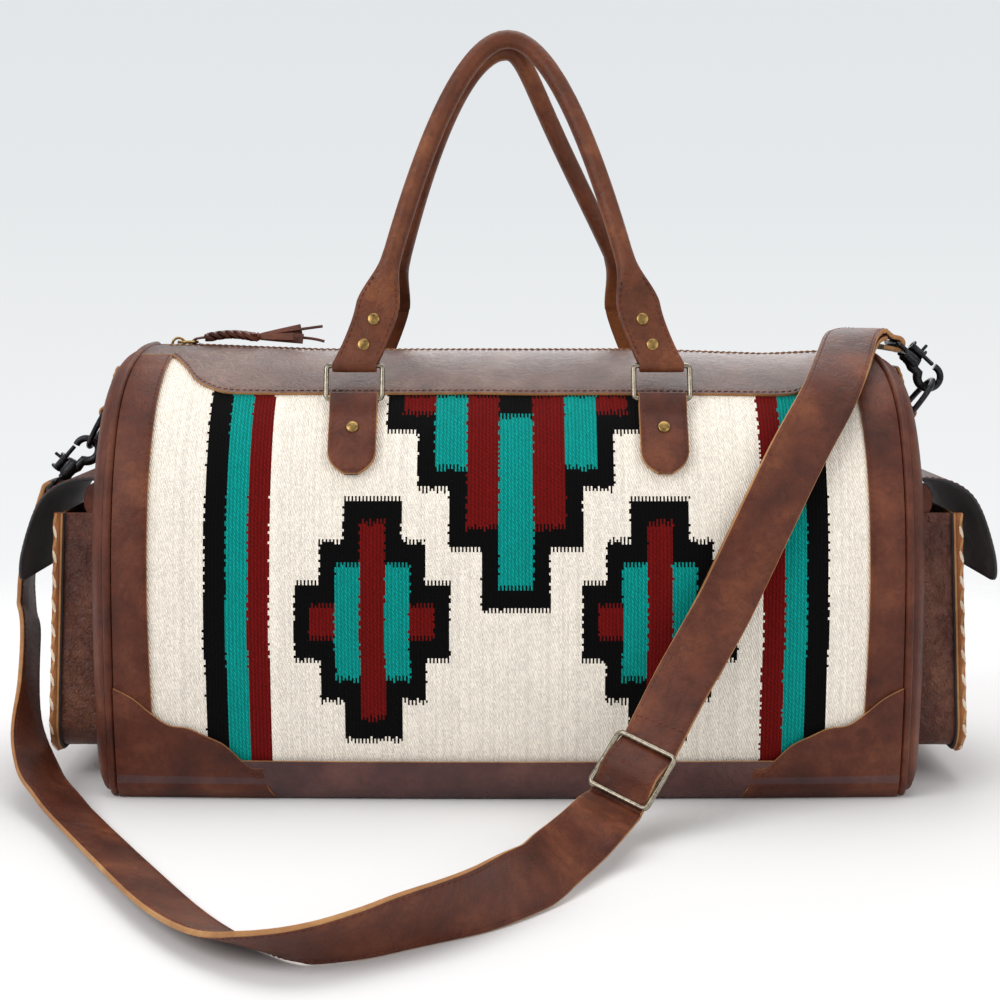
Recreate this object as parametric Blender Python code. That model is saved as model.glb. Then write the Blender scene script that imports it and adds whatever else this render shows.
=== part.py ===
"""A weekender duffle bag: woven wool panels trimmed with leather, standing on its feet.

Metres, +Z up. X runs along the bag, -Y is the front. The origin is on the ground,
under the middle of the bag. Leather and cloth are cut flat and wrapped on the bag's form.
"""

import math

import bmesh
import bpy
from mathutils import Matrix, Vector

# The bag's form: half length to the end seams, half depths, ridge and base heights
HALF_LENGTH = 0.2555
HALF_DEPTH = 0.1275
BASE_HALF_DEPTH = 0.1215
RIDGE_HEIGHT = 0.2865
BELLY_HEIGHT = 0.100
BASE_HEIGHT = 0.0105
BASE_CORNER_RADIUS = 0.014
SIDE_BULGE = 0.05
RIDGE_END_PULL = 0.0115
CROWN_POWER = 2.8

# Sheets and the fine gap between touching pieces
GAP = 0.0003
WOVEN_THICKNESS = 0.002
LEATHER_THICKNESS = 0.002
LINING_THICKNESS = 0.0008
PIPING_RADIUS = 0.0028
SEAM_MARGIN = 0.0032

# Leather trim, as seen from the front
YOKE_EDGE_HEIGHT = RIDGE_HEIGHT - 0.0285
YOKE_SHOULDER_HEIGHT = RIDGE_HEIGHT - 0.006
SIDE_STRIP_WIDTH = 0.0265
BAND_HEIGHT = 0.028
CORNER_HEIGHT = 0.075
CORNER_LENGTH = 0.110
ZIP_HALF_OPENING = 0.0105

# Zip
TAPE_HALF_WIDTH = 0.018
TOOTH_PITCH = 0.012
TOOTH_LENGTH = 0.0034
ZIP_HALF_LENGTH = 0.236
SLIDER_LENGTH = 0.014
SLIDER_WIDTH = 0.011
SLIDER_THICKNESS = 0.0018
PULL_RING_RADIUS = 0.0065
PULL_WIRE_RADIUS = 0.001
BRAID_LENGTH = 0.072

# End panels and pockets
END_BULGE = 0.0147
END_FLAT_SHARE = 0.74
POCKET_WIDTH = 0.158
POCKET_BOTTOM = 0.0205
POCKET_HEIGHT = RIDGE_HEIGHT - 0.105 - POCKET_BOTTOM
POCKET_TOP_DEPTH = 0.0225
POCKET_BOTTOM_DEPTH = 0.0300
POCKET_CORNER_RADIUS = 0.022
POCKET_FACE_MARGIN = 0.003
FLAP_WIDTH = 0.158
FLAP_ROOT_HEIGHT = RIDGE_HEIGHT - 0.083
FLAP_CORNER_RADIUS = 0.020
STUD_RADIUS = 0.0085

# Handles, rings and tabs
HANDLE_SPREAD = 0.100
HANDLE_TUBE_RADIUS = 0.0062
HANDLE_TOP = 0.501
HANDLE_END_WIDTH = 0.029
HANDLE_PLY = 0.0022
RING_WIDTH = 0.040
RING_HEIGHT = 0.026
RING_WIRE_RADIUS = 0.00175
RING_CORNER_RADIUS = 0.0026
RING_PLAY = 0.0005
RING_BAR_HEIGHT = YOKE_EDGE_HEIGHT - 0.0005
TAB_WIDTH = 0.031
TAB_LENGTH = 0.055
TAB_PLY = 0.002
RIVET_RADIUS = 0.0041
RIVET_HEIGHT = 0.0018

# Feet
FOOT_SPREAD_X = 0.2115
FOOT_SPREAD_Y = 0.092
FOOT_RADIUS = 0.0085

# Strap, slider and hooks
STRAP_WIDTH = 0.036
STRAP_THICKNESS = 0.0032
STRAP_LAYER_PITCH = 0.0052
SLIDER_FRAME = (0.043, 0.040)
SLIDER_WIRE_RADIUS = 0.0017
D_RING_WIDTH = 0.036
D_RING_BAR_HEIGHT = RIDGE_HEIGHT - 0.043
D_RING_STAND = 0.0232
D_RING_DEPTH = 0.028
D_RING_WIRE_RADIUS = 0.002
HOOK_EYE_RADIUS = 0.0080
HOOK_WIRE_RADIUS = 0.0024
HOOK_REACH = 0.035
SWIVEL_WIRE_RADIUS = 0.00175

# Motifs of the woven panels
MOTIF_SHIFT = 0.005
STRIPE_WIDTH = 0.0140
STRIPE_START = 0.1980
DIAMOND_CENTRE = (-0.0893, 0.1205)
DIAMOND_STEP = (0.0158, 0.0262)
DIAMOND_CORE = (0.0080, 0.0102)
DIAMOND_BORDER = (0.0102, 0.0145)
PYRAMID_PITCH = 0.0206
PYRAMID_STEP = 0.0385
PYRAMID_BORDER = 0.0107

FRONT, BACK = -1, 1
LEFT, RIGHT = -1, 1
SIDE_NAMES = {FRONT: "front", BACK: "back"}
END_NAMES = {LEFT: "left", RIGHT: "right"}
COLOURS = {
    "leather": ("6B4034", 0.45, 0.0),
    "strap_leather": ("5A352C", 0.42, 0.0),
    "cream_wool": ("EFE6D6", 0.95, 0.0),
    "black_wool": ("0C0A0C", 0.95, 0.0),
    "turquoise_wool": ("12B3A2", 0.95, 0.0),
    "red_wool": ("7E1F22", 0.95, 0.0),
    "lining": ("3C3A3B", 0.9, 0.0),
    "board": ("2A2A2A", 0.8, 0.0),
    "tape": ("3A2A26", 0.9, 0.0),
    "brass": ("9C7F4E", 0.35, 1.0),
    "nickel": ("8C8371", 0.3, 1.0),
    "gunmetal": ("2B2B2B", 0.35, 1.0),
}


def linear(hex_colour):
    """An sRGB hex colour as linear red, green, blue, alpha."""
    parts = [int(hex_colour[i:i + 2], 16) / 255 for i in (0, 2, 4)]
    return [c / 12.92 if c <= 0.04045 else ((c + 0.055) / 1.055) ** 2.4 for c in parts] + [1.0]


def material(finish, owner):
    """A Principled material of that finish for one piece."""
    colour, roughness, metallic = COLOURS[finish]
    made = bpy.data.materials.new(f"{owner}_{finish}")
    made.use_nodes = True
    shader = made.node_tree.nodes["Principled BSDF"]
    shader.inputs["Base Color"].default_value = linear(colour)
    shader.inputs["Roughness"].default_value = roughness
    shader.inputs["Metallic"].default_value = metallic
    made.diffuse_color = linear(colour)
    return made


def add_object(name, bm, finishes, smooth=False):
    """Makes an object from a bmesh, closed and facing out."""
    bmesh.ops.recalc_face_normals(bm, faces=bm.faces)
    if bm.calc_volume(signed=True) < 0:
        bmesh.ops.reverse_faces(bm, faces=bm.faces)
    mesh = bpy.data.meshes.new(name)
    bm.to_mesh(mesh)
    bm.free()
    for finish in finishes if isinstance(finishes, (list, tuple)) else [finishes]:
        mesh.materials.append(material(finish, name))
    if smooth:
        mesh.shade_smooth()
        mesh.set_sharp_from_angle(angle=math.radians(40))
    made = bpy.data.objects.new(name, mesh)
    bpy.context.collection.objects.link(made)
    return made


def pivot(made, place):
    """Puts an object's origin on its joint's axis."""
    place = Vector(place)
    made.data.transform(Matrix.Translation(-place))
    made.location = place
    return made


def unite(target, tools):
    """Fuses the tool objects into the target with a Boolean union."""
    for tool in tools:
        modifier = target.modifiers.new("union", "BOOLEAN")
        modifier.operation = "UNION"
        modifier.solver = "EXACT"
        modifier.object = tool
    shape = bpy.data.meshes.new_from_object(
        target.evaluated_get(bpy.context.evaluated_depsgraph_get()))
    target.modifiers.clear()
    target.data = shape
    for tool in tools:
        bpy.data.objects.remove(tool)
    return target


# The form
def build_profile():
    """(half depth, height) stations from the middle of the base round to the ridge."""
    centre_y = BASE_HALF_DEPTH - BASE_CORNER_RADIUS
    centre_z = BASE_HEIGHT + BASE_CORNER_RADIUS
    stations = [(0.0, BASE_HEIGHT), (centre_y / 2, BASE_HEIGHT)]
    corner_steps = 4
    for i in range(corner_steps + 1):
        turn = math.radians(90 * i / corner_steps)
        stations.append((centre_y + BASE_CORNER_RADIUS * math.sin(turn),
                         centre_z - BASE_CORNER_RADIUS * math.cos(turn)))
    side_steps = 3
    for i in range(1, side_steps + 1):
        height = centre_z + (BELLY_HEIGHT - centre_z) * i / side_steps
        inward = ((BELLY_HEIGHT - height) / (BELLY_HEIGHT - centre_z)) ** 2
        stations.append((HALF_DEPTH - (HALF_DEPTH - BASE_HALF_DEPTH) * inward, height))
    crown_steps = 13
    for i in range(1, crown_steps + 1):
        turn = math.radians(90 * i / crown_steps)
        rise = math.sin(turn) ** (2 / CROWN_POWER)
        stations.append((HALF_DEPTH * math.cos(turn),
                         BELLY_HEIGHT + (RIDGE_HEIGHT - BELLY_HEIGHT) * rise))
    return [Vector((max(y, 0.0), z)) for y, z in stations]


PROFILE = build_profile()
GIRTHS = [0.0]
for before, after in zip(PROFILE, PROFILE[1:]):
    GIRTHS.append(GIRTHS[-1] + (after - before).length)
RIDGE_GIRTH = GIRTHS[-1]
CORNER_START = [point.y > BASE_HEIGHT + GAP for point in PROFILE].index(True) - 1


def station_normals():
    """The outward offset direction at each station, longer at a bend."""
    directions = [(b - a).normalized() for a, b in zip(PROFILE, PROFILE[1:])]
    facing = [Vector((d.y, -d.x)) for d in directions]
    normals = [Vector((0.0, -1.0))]
    for first, second in zip(facing, facing[1:]):
        middle = (first + second).normalized()
        normals.append(middle / middle.dot(first))
    normals.append(Vector((0.0, 1.0)))
    return normals


NORMALS = station_normals()


def at_girth(girth, offset=0.0):
    """(half depth, height) at a distance round the form and an offset outward."""
    girth = min(max(girth, 0.0), RIDGE_GIRTH)
    i = max(k for k in range(len(GIRTHS) - 1) if GIRTHS[k] <= girth + 1e-9)
    share = (girth - GIRTHS[i]) / (GIRTHS[i + 1] - GIRTHS[i])
    first = PROFILE[i] + NORMALS[i] * offset
    second = PROFILE[i + 1] + NORMALS[i + 1] * offset
    return first.lerp(second, share)


def girth_at(height):
    """The distance round the form to a height on its side."""
    for i in range(CORNER_START, len(PROFILE) - 1):
        low, high = PROFILE[i].y, PROFILE[i + 1].y
        if low <= height <= high:
            return GIRTHS[i] + (GIRTHS[i + 1] - GIRTHS[i]) * (height - low) / (high - low)
    return RIDGE_GIRTH


def end_pull(girth):
    """How far the end seam is drawn in at that girth, near the ridge."""
    start = GIRTHS[-8]
    share = max(0.0, (girth - start) / (RIDGE_GIRTH - start))
    return RIDGE_END_PULL * share * share


def wrap(x, girth, offset, side):
    """A flat pattern's point on the form."""
    share = abs(x) / HALF_LENGTH
    depth, height = at_girth(girth, offset)
    depth *= 1 + SIDE_BULGE * (1 - min(share, 1.0) ** 2)
    pulled = x - math.copysign(end_pull(girth) * share ** 6, x)
    return Vector((pulled, side * depth, height))


BEND_X = [HALF_LENGTH * k / 4 for k in range(-3, 4)]


# Pieces cut flat, then wrapped
def cut_at(bm, value, axis, faces=None):
    """Cuts flat faces along a line of constant x or girth."""
    faces = list(bm.faces) if faces is None else faces
    edges = {e for f in faces for e in f.edges}
    verts = {v for f in faces for v in f.verts}
    point, normal = Vector((0, 0, 0)), Vector((0, 0, 0))
    point[axis], normal[axis] = value, 1.0
    made = bmesh.ops.bisect_plane(bm, geom=faces + list(edges) + list(verts),
                                  plane_co=point, plane_no=normal, dist=1e-6)
    return [g for g in made["geom_cut"] if isinstance(g, bmesh.types.BMEdge)]


def flat_sheet(outline):
    """A flat face cut along the lines where the form bends."""
    bm = bmesh.new()
    bm.faces.new([bm.verts.new((x, girth, 0)) for x, girth in outline])
    seams = []
    for x in BEND_X:
        seams += cut_at(bm, x, 0)
    for girth in GIRTHS[1:-1]:
        seams += cut_at(bm, girth, 1)
    for edge in bm.edges:
        if len(edge.link_faces) == 2:
            edge.seam = True
    return bm


def thicken_and_wrap(bm, side, low, high):
    """Gives the flat sheet its thickness and lays it on the form."""
    lower = bmesh.ops.duplicate(bm, geom=bm.faces[:] + bm.edges[:] + bm.verts[:])
    lower_verts = [v for v in lower["geom"] if isinstance(v, bmesh.types.BMVert)]
    lower_edges = [e for e in lower["geom"] if isinstance(e, bmesh.types.BMEdge)]
    lower_faces = [f for f in lower["geom"] if isinstance(f, bmesh.types.BMFace)]
    twins = lower["vert_map"]
    hidden = set(lower_verts)
    rims = [e.verts[:] for e in bm.edges if len(e.link_faces) == 1 and e.verts[0] not in hidden]
    for vert in bm.verts:
        vert.tag = vert in hidden
    for a, b in rims:
        bm.faces.new((a, b, twins[b], twins[a]))
    for face in lower_faces:
        face.material_index = 0
    bmesh.ops.dissolve_limit(bm, angle_limit=math.radians(1), delimit={"SEAM"},
                             verts=[v for v in lower_verts if not v.is_boundary],
                             edges=[e for e in lower_edges if e.is_valid and not e.seam
                                    and len(e.link_faces) == 2])
    for vert in bm.verts:
        vert.co = wrap(vert.co.x, vert.co.y, low if vert.tag else high, side)


def sheet(name, outline, side, finish, level=None, thickness=LEATHER_THICKNESS):
    """A leather or cloth piece from its flat outline of (x, girth) points."""
    level = WOVEN_THICKNESS + GAP if level is None else level
    bm = flat_sheet(outline)
    thicken_and_wrap(bm, side, level, level + thickness)
    return add_object(name, bm, finish)


def both_ends(points):
    """An outline of (x, height) points, mirrored to the other end."""
    return [(x, girth_at(z)) for x, z in points] + [(-x, girth_at(z)) for x, z in reversed(points)]


# Woven panels
CREAM, BLACK, TURQUOISE, RED = range(4)


def diamond_colour(x, z):
    """The colour of a stepped diamond at an offset from its centre, or None outside it."""
    for border in (0, 1):
        for step, colour in enumerate((RED, TURQUOISE, RED)):
            half_x = DIAMOND_CORE[0] + DIAMOND_STEP[0] * step + DIAMOND_BORDER[0] * border
            half_z = DIAMOND_CORE[1] + DIAMOND_STEP[1] * (2 - step) + DIAMOND_BORDER[1] * border
            if abs(x) < half_x and abs(z) < half_z:
                return BLACK if border else colour
    return None


def diamond_lines():
    """Offsets of a diamond's upright and level edges."""
    lines_x = [DIAMOND_CORE[0] + DIAMOND_STEP[0] * k + b
               for k in range(3) for b in (0, DIAMOND_BORDER[0])]
    lines_z = [DIAMOND_CORE[1] + DIAMOND_STEP[1] * k + b
               for k in range(3) for b in (0, DIAMOND_BORDER[1])]
    return [s * v for v in lines_x for s in (-1, 1)], [s * v for v in lines_z for s in (-1, 1)]


def pyramid_depths(step):
    """How far a column of the hanging pyramid reaches below the yoke: its colour, its border."""
    coloured = 0.0115 + PYRAMID_STEP * 0.92 * (3 - step)
    return coloured, coloured + PYRAMID_BORDER * 1.35


def pyramid_colour(x, below):
    """The colour of the hanging stepped pyramid, or None outside it."""
    for step, colour in enumerate((TURQUOISE, RED, TURQUOISE, RED)):
        if abs(x) < PYRAMID_PITCH * (step + 0.5) and below < pyramid_depths(step)[0]:
            return colour if step or below > PYRAMID_BORDER else BLACK
    for step in range(4):
        wide = PYRAMID_PITCH * (step + 0.5) + PYRAMID_BORDER
        if abs(x) < wide and below < pyramid_depths(step)[1]:
            return BLACK
    return None


def pyramid_lines():
    """Offsets of the pyramid's upright edges, and its depths below the yoke."""
    lines_x = [PYRAMID_PITCH * (k + 0.5) + b for k in range(4) for b in (0, PYRAMID_BORDER)]
    depths = [PYRAMID_BORDER] + [d for k in range(4) for d in pyramid_depths(k)]
    return [s * v for v in lines_x for s in (-1, 1)], depths


def panel_colour(x, height):
    """The colour of the woven cloth at a place on the panel."""
    distance = abs(x - MOTIF_SHIFT)
    stripe = (STRIPE_START - distance) / STRIPE_WIDTH
    if 0 < stripe < 3:
        return (BLACK, TURQUOISE, RED)[int(stripe)]
    found = pyramid_colour(x - MOTIF_SHIFT, YOKE_EDGE_HEIGHT - height)
    if found is None:
        aside = DIAMOND_CENTRE[0] + distance
        found = diamond_colour(aside, height - DIAMOND_CENTRE[1])
    return CREAM if found is None else found


def cut_box(bm, low, high, lines_x, lines_girth):
    """Cuts only the faces inside a box along a motif's edges."""
    def inside():
        return [f for f in bm.faces
                if low[0] < f.calc_center_median().x < high[0]
                and low[1] < f.calc_center_median().y < high[1]]
    for x in [low[0], high[0]] + lines_x:
        cut_at(bm, x, 0, inside() if x in lines_x else None)
    for girth in [low[1], high[1]] + lines_girth:
        cut_at(bm, girth, 1, inside() if girth in lines_girth else
               [f for f in bm.faces if low[0] < f.calc_center_median().x < high[0]])


def woven_panel(side):
    """A wool panel with its stripes, diamonds and hanging pyramid."""
    half = HALF_LENGTH - SIDE_STRIP_WIDTH + 0.010
    low, high = girth_at(BAND_HEIGHT - 0.006), girth_at(YOKE_EDGE_HEIGHT + 0.007)
    bm = flat_sheet([(-half, low), (half, low), (half, high), (-half, high)])
    for k in range(4):
        for end in (-1, 1):
            cut_at(bm, MOTIF_SHIFT + end * (STRIPE_START - STRIPE_WIDTH * k), 0)
    lines_x, lines_z = diamond_lines()
    reach_x, reach_z = max(lines_x), max(lines_z)
    for end in (-1, 1):
        middle = MOTIF_SHIFT - end * DIAMOND_CENTRE[0]
        heights = [DIAMOND_CENTRE[1] + z for z in lines_z if abs(z) < reach_z]
        cut_box(bm, (middle - reach_x, girth_at(DIAMOND_CENTRE[1] - reach_z)),
                (middle + reach_x, girth_at(DIAMOND_CENTRE[1] + reach_z)),
                [middle + x for x in lines_x if abs(x) < reach_x],
                [girth_at(z) for z in heights])
    lines_x, depths = pyramid_lines()
    reach_x = max(lines_x)
    cut_box(bm, (MOTIF_SHIFT - reach_x, girth_at(YOKE_EDGE_HEIGHT - max(depths))),
            (MOTIF_SHIFT + reach_x, girth_at(YOKE_EDGE_HEIGHT)),
            [MOTIF_SHIFT + x for x in lines_x if abs(x) < reach_x],
            [girth_at(YOKE_EDGE_HEIGHT - d) for d in depths if d < max(depths)])
    for face in bm.faces:
        centre = face.calc_center_median()
        face.material_index = panel_colour(centre.x, at_girth(centre.y).y)
    bmesh.ops.dissolve_limit(bm, angle_limit=math.radians(1), verts=bm.verts, edges=bm.edges,
                             delimit={"MATERIAL", "SEAM"})
    thicken_and_wrap(bm, side, 0.0, WOVEN_THICKNESS)
    return add_object(f"{SIDE_NAMES[side]}_woven_panel", bm,
                      ["cream_wool", "black_wool", "turquoise_wool", "red_wool"])


# Leather trim
def yoke(side):
    """The leather along the top, from the zip down over the shoulder."""
    edge, inner = HALF_LENGTH - SEAM_MARGIN, HALF_LENGTH - SIDE_STRIP_WIDTH
    shoulder, low = YOKE_SHOULDER_HEIGHT, YOKE_EDGE_HEIGHT
    points = [(-0.178, low), (-0.190, low + 0.0018), (-0.205, low + 0.0100),
              (-0.216, low + 0.0180), (-inner + 0.001, shoulder - 0.0010), (-inner, shoulder), (-edge, shoulder)]
    outline = both_ends(points)
    top = RIDGE_GIRTH - ZIP_HALF_OPENING
    middle = len(points)
    outline = outline[:middle] + [(-edge, top), (edge, top)] + outline[middle:]
    return sheet(f"{SIDE_NAMES[side]}_yoke", outline, side, "leather")


def side_strip(side, end):
    """The upright leather strip beside an end seam."""
    outer, inner = HALF_LENGTH - SEAM_MARGIN, HALF_LENGTH - SIDE_STRIP_WIDTH
    top, bottom = girth_at(YOKE_SHOULDER_HEIGHT) - GAP * 2, girth_at(BAND_HEIGHT) + GAP * 2
    points = [(outer, bottom), (outer, top), (inner, top), (inner, girth_at(YOKE_EDGE_HEIGHT - 0.016)),
              (inner + 0.0005, girth_at(0.200)), (inner + 0.0005, girth_at(0.120)),
              (inner - 0.002, bottom)]
    outline = [(end * x, girth) for x, girth in points]
    return sheet(f"{SIDE_NAMES[side]}_{END_NAMES[end]}_side_strip", outline, side, "leather")


def bottom_band(side):
    """The leather band that turns under the base."""
    edge = HALF_LENGTH - SEAM_MARGIN
    low, high = GIRTHS[CORNER_START] + GAP, girth_at(BAND_HEIGHT)
    outline = [(-edge, low), (edge, low), (edge, high), (-edge, high)]
    return sheet(f"{SIDE_NAMES[side]}_bottom_band", outline, side, "leather")


def corner_patch(side, end):
    """The scalloped leather patch on a bottom corner."""
    outer, height, length = HALF_LENGTH - SEAM_MARGIN, CORNER_HEIGHT, CORNER_LENGTH
    scallop = [(0.0, 1.0), (0.11, 0.915), (0.225, 0.777), (0.32, 0.684), (0.43, 0.659),
               (0.535, 0.589), (0.64, 0.513), (0.745, 0.368), (0.80, 0.25), (0.86, 0.18)]
    foot = GIRTHS[CORNER_START] + 2 * GAP
    points = [(outer - length * a, girth_at(height * h)) for a, h in scallop]
    points += [(outer - length * 0.96, foot), (outer, foot)]
    outline = [(end * x, girth) for x, girth in points]
    level = WOVEN_THICKNESS + LEATHER_THICKNESS + 2 * GAP
    return sheet(f"{SIDE_NAMES[side]}_{END_NAMES[end]}_corner", outline, side, "leather", level)


def zip_tape(side):
    """A zip tape with its teeth, which mesh with the other tape's."""
    low = RIDGE_GIRTH - TAPE_HALF_WIDTH
    root, tip = RIDGE_GIRTH - TOOTH_LENGTH / 2 - 0.0012, RIDGE_GIRTH + 0.0
    count = int(2 * ZIP_HALF_LENGTH / TOOTH_PITCH)
    tooth = TOOTH_PITCH / 2 - 2 * GAP
    start = -TOOTH_PITCH * count / 2 + (TOOTH_PITCH / 2 if side == BACK else 0) + GAP
    outline = [(-ZIP_HALF_LENGTH, root), (-ZIP_HALF_LENGTH, low),
               (ZIP_HALF_LENGTH, low), (ZIP_HALF_LENGTH, root)]
    for k in reversed(range(count)):
        left = start + TOOTH_PITCH * k
        if left + tooth < ZIP_HALF_LENGTH and left > -ZIP_HALF_LENGTH:
            outline += [(left + tooth, root), (left + tooth, tip), (left, tip), (left, root)]
    bm = flat_sheet(outline)
    reach = TOOTH_LENGTH / 2
    thick = WOVEN_THICKNESS - 0.0002
    thicken_and_wrap(bm, side, WOVEN_THICKNESS - thick, WOVEN_THICKNESS)
    for vert in bm.verts:
        if abs(vert.co.y) < 1e-5:
            vert.co.y = -side * reach
    return add_object(f"{SIDE_NAMES[side]}_zip_tape", bm, "tape")


def closed_section():
    """Girths and sides of a closed loop round the form, from the ridge down the front."""
    front = [(FRONT, GIRTHS[i]) for i in range(len(GIRTHS) - 1, 0, -1)]
    back = [(BACK, GIRTHS[i]) for i in range(1, len(GIRTHS) - 1)]
    return front + [(FRONT, 0.0)] + back


def base_panel():
    """The flat leather base between the two bands."""
    inner = GIRTHS[CORNER_START] - GAP
    edge = HALF_LENGTH - SEAM_MARGIN
    stations = [-edge] + BEND_X + [edge]
    low = WOVEN_THICKNESS + GAP
    bm = bmesh.new()
    rows = []
    for x in stations:
        rows.append([bm.verts.new(wrap(x, inner, offset, side))
                     for side, offset in ((FRONT, low), (BACK, low), (BACK, low + LEATHER_THICKNESS),
                                          (FRONT, low + LEATHER_THICKNESS))])
    skin_rows(bm, rows)
    return add_object("base_panel", bm, "leather")


def skin_rows(bm, rows, closed=False):
    """Joins rows of verts into a skin, with flat ends unless it is closed."""
    pairs = list(zip(rows, rows[1:])) + ([(rows[-1], rows[0])] if closed else [])
    for first, second in pairs:
        count = len(first)
        for i in range(count):
            j = (i + 1) % count
            bm.faces.new((first[i], first[j], second[j], second[i]))
    if not closed:
        bm.faces.new(rows[0])
        bm.faces.new(reversed(rows[-1]))


def base_board():
    """The stiff board that the lining rests on."""
    inner = GIRTHS[CORNER_START] - 0.004
    edge = HALF_LENGTH - 0.010
    bm = bmesh.new()
    rows = []
    for x in (-edge, -edge / 2, 0.0, edge / 2, edge):
        rows.append([bm.verts.new(wrap(x, inner, offset, side))
                     for side, offset in ((FRONT, 0.0), (BACK, 0.0), (BACK, WOVEN_THICKNESS),
                                          (FRONT, WOVEN_THICKNESS))])
    skin_rows(bm, rows)
    return add_object("base_board", bm, "board")


def lining():
    """The cloth bag inside, open along the zip."""
    edge = HALF_LENGTH - 0.006
    outer_offset = -0.0006
    slot = 5
    loop = closed_section()
    loop = loop[slot - 3:len(loop) - (slot - 4)]
    bm = bmesh.new()
    layers = []
    for depth in (0.0, LINING_THICKNESS):
        ends = []
        for x in (-edge + depth, edge - depth):
            ends.append([bm.verts.new(wrap(x, g, outer_offset - depth, s)) for s, g in loop])
        layers.append(ends)
    for ends in layers:
        for i in range(len(loop) - 1):
            bm.faces.new((ends[0][i], ends[0][i + 1], ends[1][i + 1], ends[1][i]))
        bm.faces.new(ends[0])
        bm.faces.new(ends[1])
    outer, inner = layers
    for i in (0, len(loop) - 1):
        bm.faces.new((outer[0][i], outer[1][i], inner[1][i], inner[0][i]))
    for end in (0, 1):
        bm.faces.new((outer[end][0], outer[end][-1], inner[end][-1], inner[end][0]))
    return add_object("lining", bm, "lining")


# Ends of the bag
def end_panel(end):
    """The bulging leather end, flat in its middle where the pocket is sewn on."""
    flat_x = HALF_LENGTH + END_BULGE
    middle = Vector((0, 0, (RIDGE_HEIGHT + BASE_HEIGHT) / 2))
    loop = closed_section()
    bm = bmesh.new()
    rings = []
    shares = (0.0, 0.22, 0.58, 1.0)
    for inset in (0.0, LEATHER_THICKNESS):
        for share in shares:
            ring = []
            scale = 1 - (1 - END_FLAT_SHARE) * share
            rise = math.sqrt(1 - (1 - share) ** 2)
            for side, girth in loop:
                depth, height = at_girth(girth, WOVEN_THICKNESS - inset)
                start = HALF_LENGTH + SEAM_MARGIN - end_pull(girth)
                point = middle + (Vector((0, side * depth, height)) - middle) * scale
                point.x = end * (start + (flat_x - start) * rise - inset * share)
                ring.append(bm.verts.new(point))
            rings.append(ring)
    outer, inner = rings[:len(shares)], rings[len(shares):]
    for layer in (outer, inner):
        for first, second in zip(layer, layer[1:]):
            for i in range(len(loop)):
                j = (i + 1) % len(loop)
                bm.faces.new((first[i], first[j], second[j], second[i]))
        bm.faces.new(layer[-1])
    for i in range(len(loop)):
        j = (i + 1) % len(loop)
        bm.faces.new((outer[0][i], outer[0][j], inner[0][j], inner[0][i]))
    return add_object(f"{END_NAMES[end]}_end_panel", bm, "leather", smooth=True)


def tube(name, path, radius, finish, closed=False, sides=8, up=None, smooth=True):
    """A round bar or cord along a path."""
    count = len(path)
    up = Vector(up) if up else None
    bm = bmesh.new()
    rows = []
    across = None
    for i, point in enumerate(path):
        before = path[i - 1] if closed or i else path[i]
        after = path[(i + 1) % count] if closed or i < count - 1 else path[i]
        tangent = (after - before).normalized()
        if up:
            across = tangent.cross(up).normalized()
        elif across is None:
            across = tangent.orthogonal().normalized()
        else:
            across = (across - tangent * across.dot(tangent)).normalized()
        other = tangent.cross(across)
        row = []
        for k in range(sides):
            turn = 2 * math.pi * k / sides
            row.append(bm.verts.new(point + (across * math.cos(turn) + other * math.sin(turn)) * radius))
        rows.append(row)
    skin_rows(bm, rows, closed)
    return add_object(name, bm, finish, smooth)


def piping(end):
    """The corded welt in the end seam."""
    offset = WOVEN_THICKNESS + GAP + 0.0008
    path = []
    for side, girth in closed_section():
        depth, height = at_girth(girth, offset)
        path.append(Vector((end * (HALF_LENGTH - end_pull(girth)), side * depth, height)))
    return tube(f"{END_NAMES[end]}_piping", path, PIPING_RADIUS, "leather", closed=True, sides=6,
                up=(1, 0, 0))


def pocket_outline(inset):
    """(y, z) points round a box pocket, open at the top, from the front edge down."""
    half, radius = POCKET_WIDTH / 2 - inset, POCKET_CORNER_RADIUS - inset
    bottom, top = POCKET_BOTTOM + inset, POCKET_BOTTOM + POCKET_HEIGHT
    points = [(-half, top)]
    for k in range(5):
        turn = math.radians(90 * k / 4)
        points.append((-half + radius - radius * math.cos(turn), bottom + radius - radius * math.sin(turn)))
    return points + [(-y, z) for y, z in reversed(points)]


def pocket_depth(z):
    """How far the pocket stands out from the end panel at a height."""
    share = (z - POCKET_BOTTOM) / POCKET_HEIGHT
    return POCKET_BOTTOM_DEPTH + (POCKET_TOP_DEPTH - POCKET_BOTTOM_DEPTH) * share


POCKET_BACK = HALF_LENGTH + END_BULGE + GAP


def pocket_wall(end):
    """The gusset of an end pocket: one strip bent round three sides."""
    outer, inner = pocket_outline(0.0), pocket_outline(LEATHER_THICKNESS)
    bm = bmesh.new()
    rows = []
    for (y0, z0), (y1, z1) in zip(outer, inner):
        rows.append([bm.verts.new((end * x, y, z)) for x, y, z in (
            (POCKET_BACK, y0, z0), (POCKET_BACK + pocket_depth(z0), y0, z0),
            (POCKET_BACK + pocket_depth(z1), y1, z1), (POCKET_BACK, y1, z1))])
    skin_rows(bm, rows)
    return add_object(f"{END_NAMES[end]}_pocket_wall", bm, "leather")


def pocket_face(end):
    """The outer face of an end pocket, laced over the gusset's edge."""
    margin = -POCKET_FACE_MARGIN
    bm = bmesh.new()
    rows = []
    for lift in (GAP, GAP + LEATHER_THICKNESS):
        rows.append([bm.verts.new((end * (POCKET_BACK + pocket_depth(z) + lift), y, z))
                     for y, z in pocket_outline(margin)])
    skin_rows(bm, rows)
    return add_object(f"{END_NAMES[end]}_pocket_face", bm, "leather")


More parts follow.
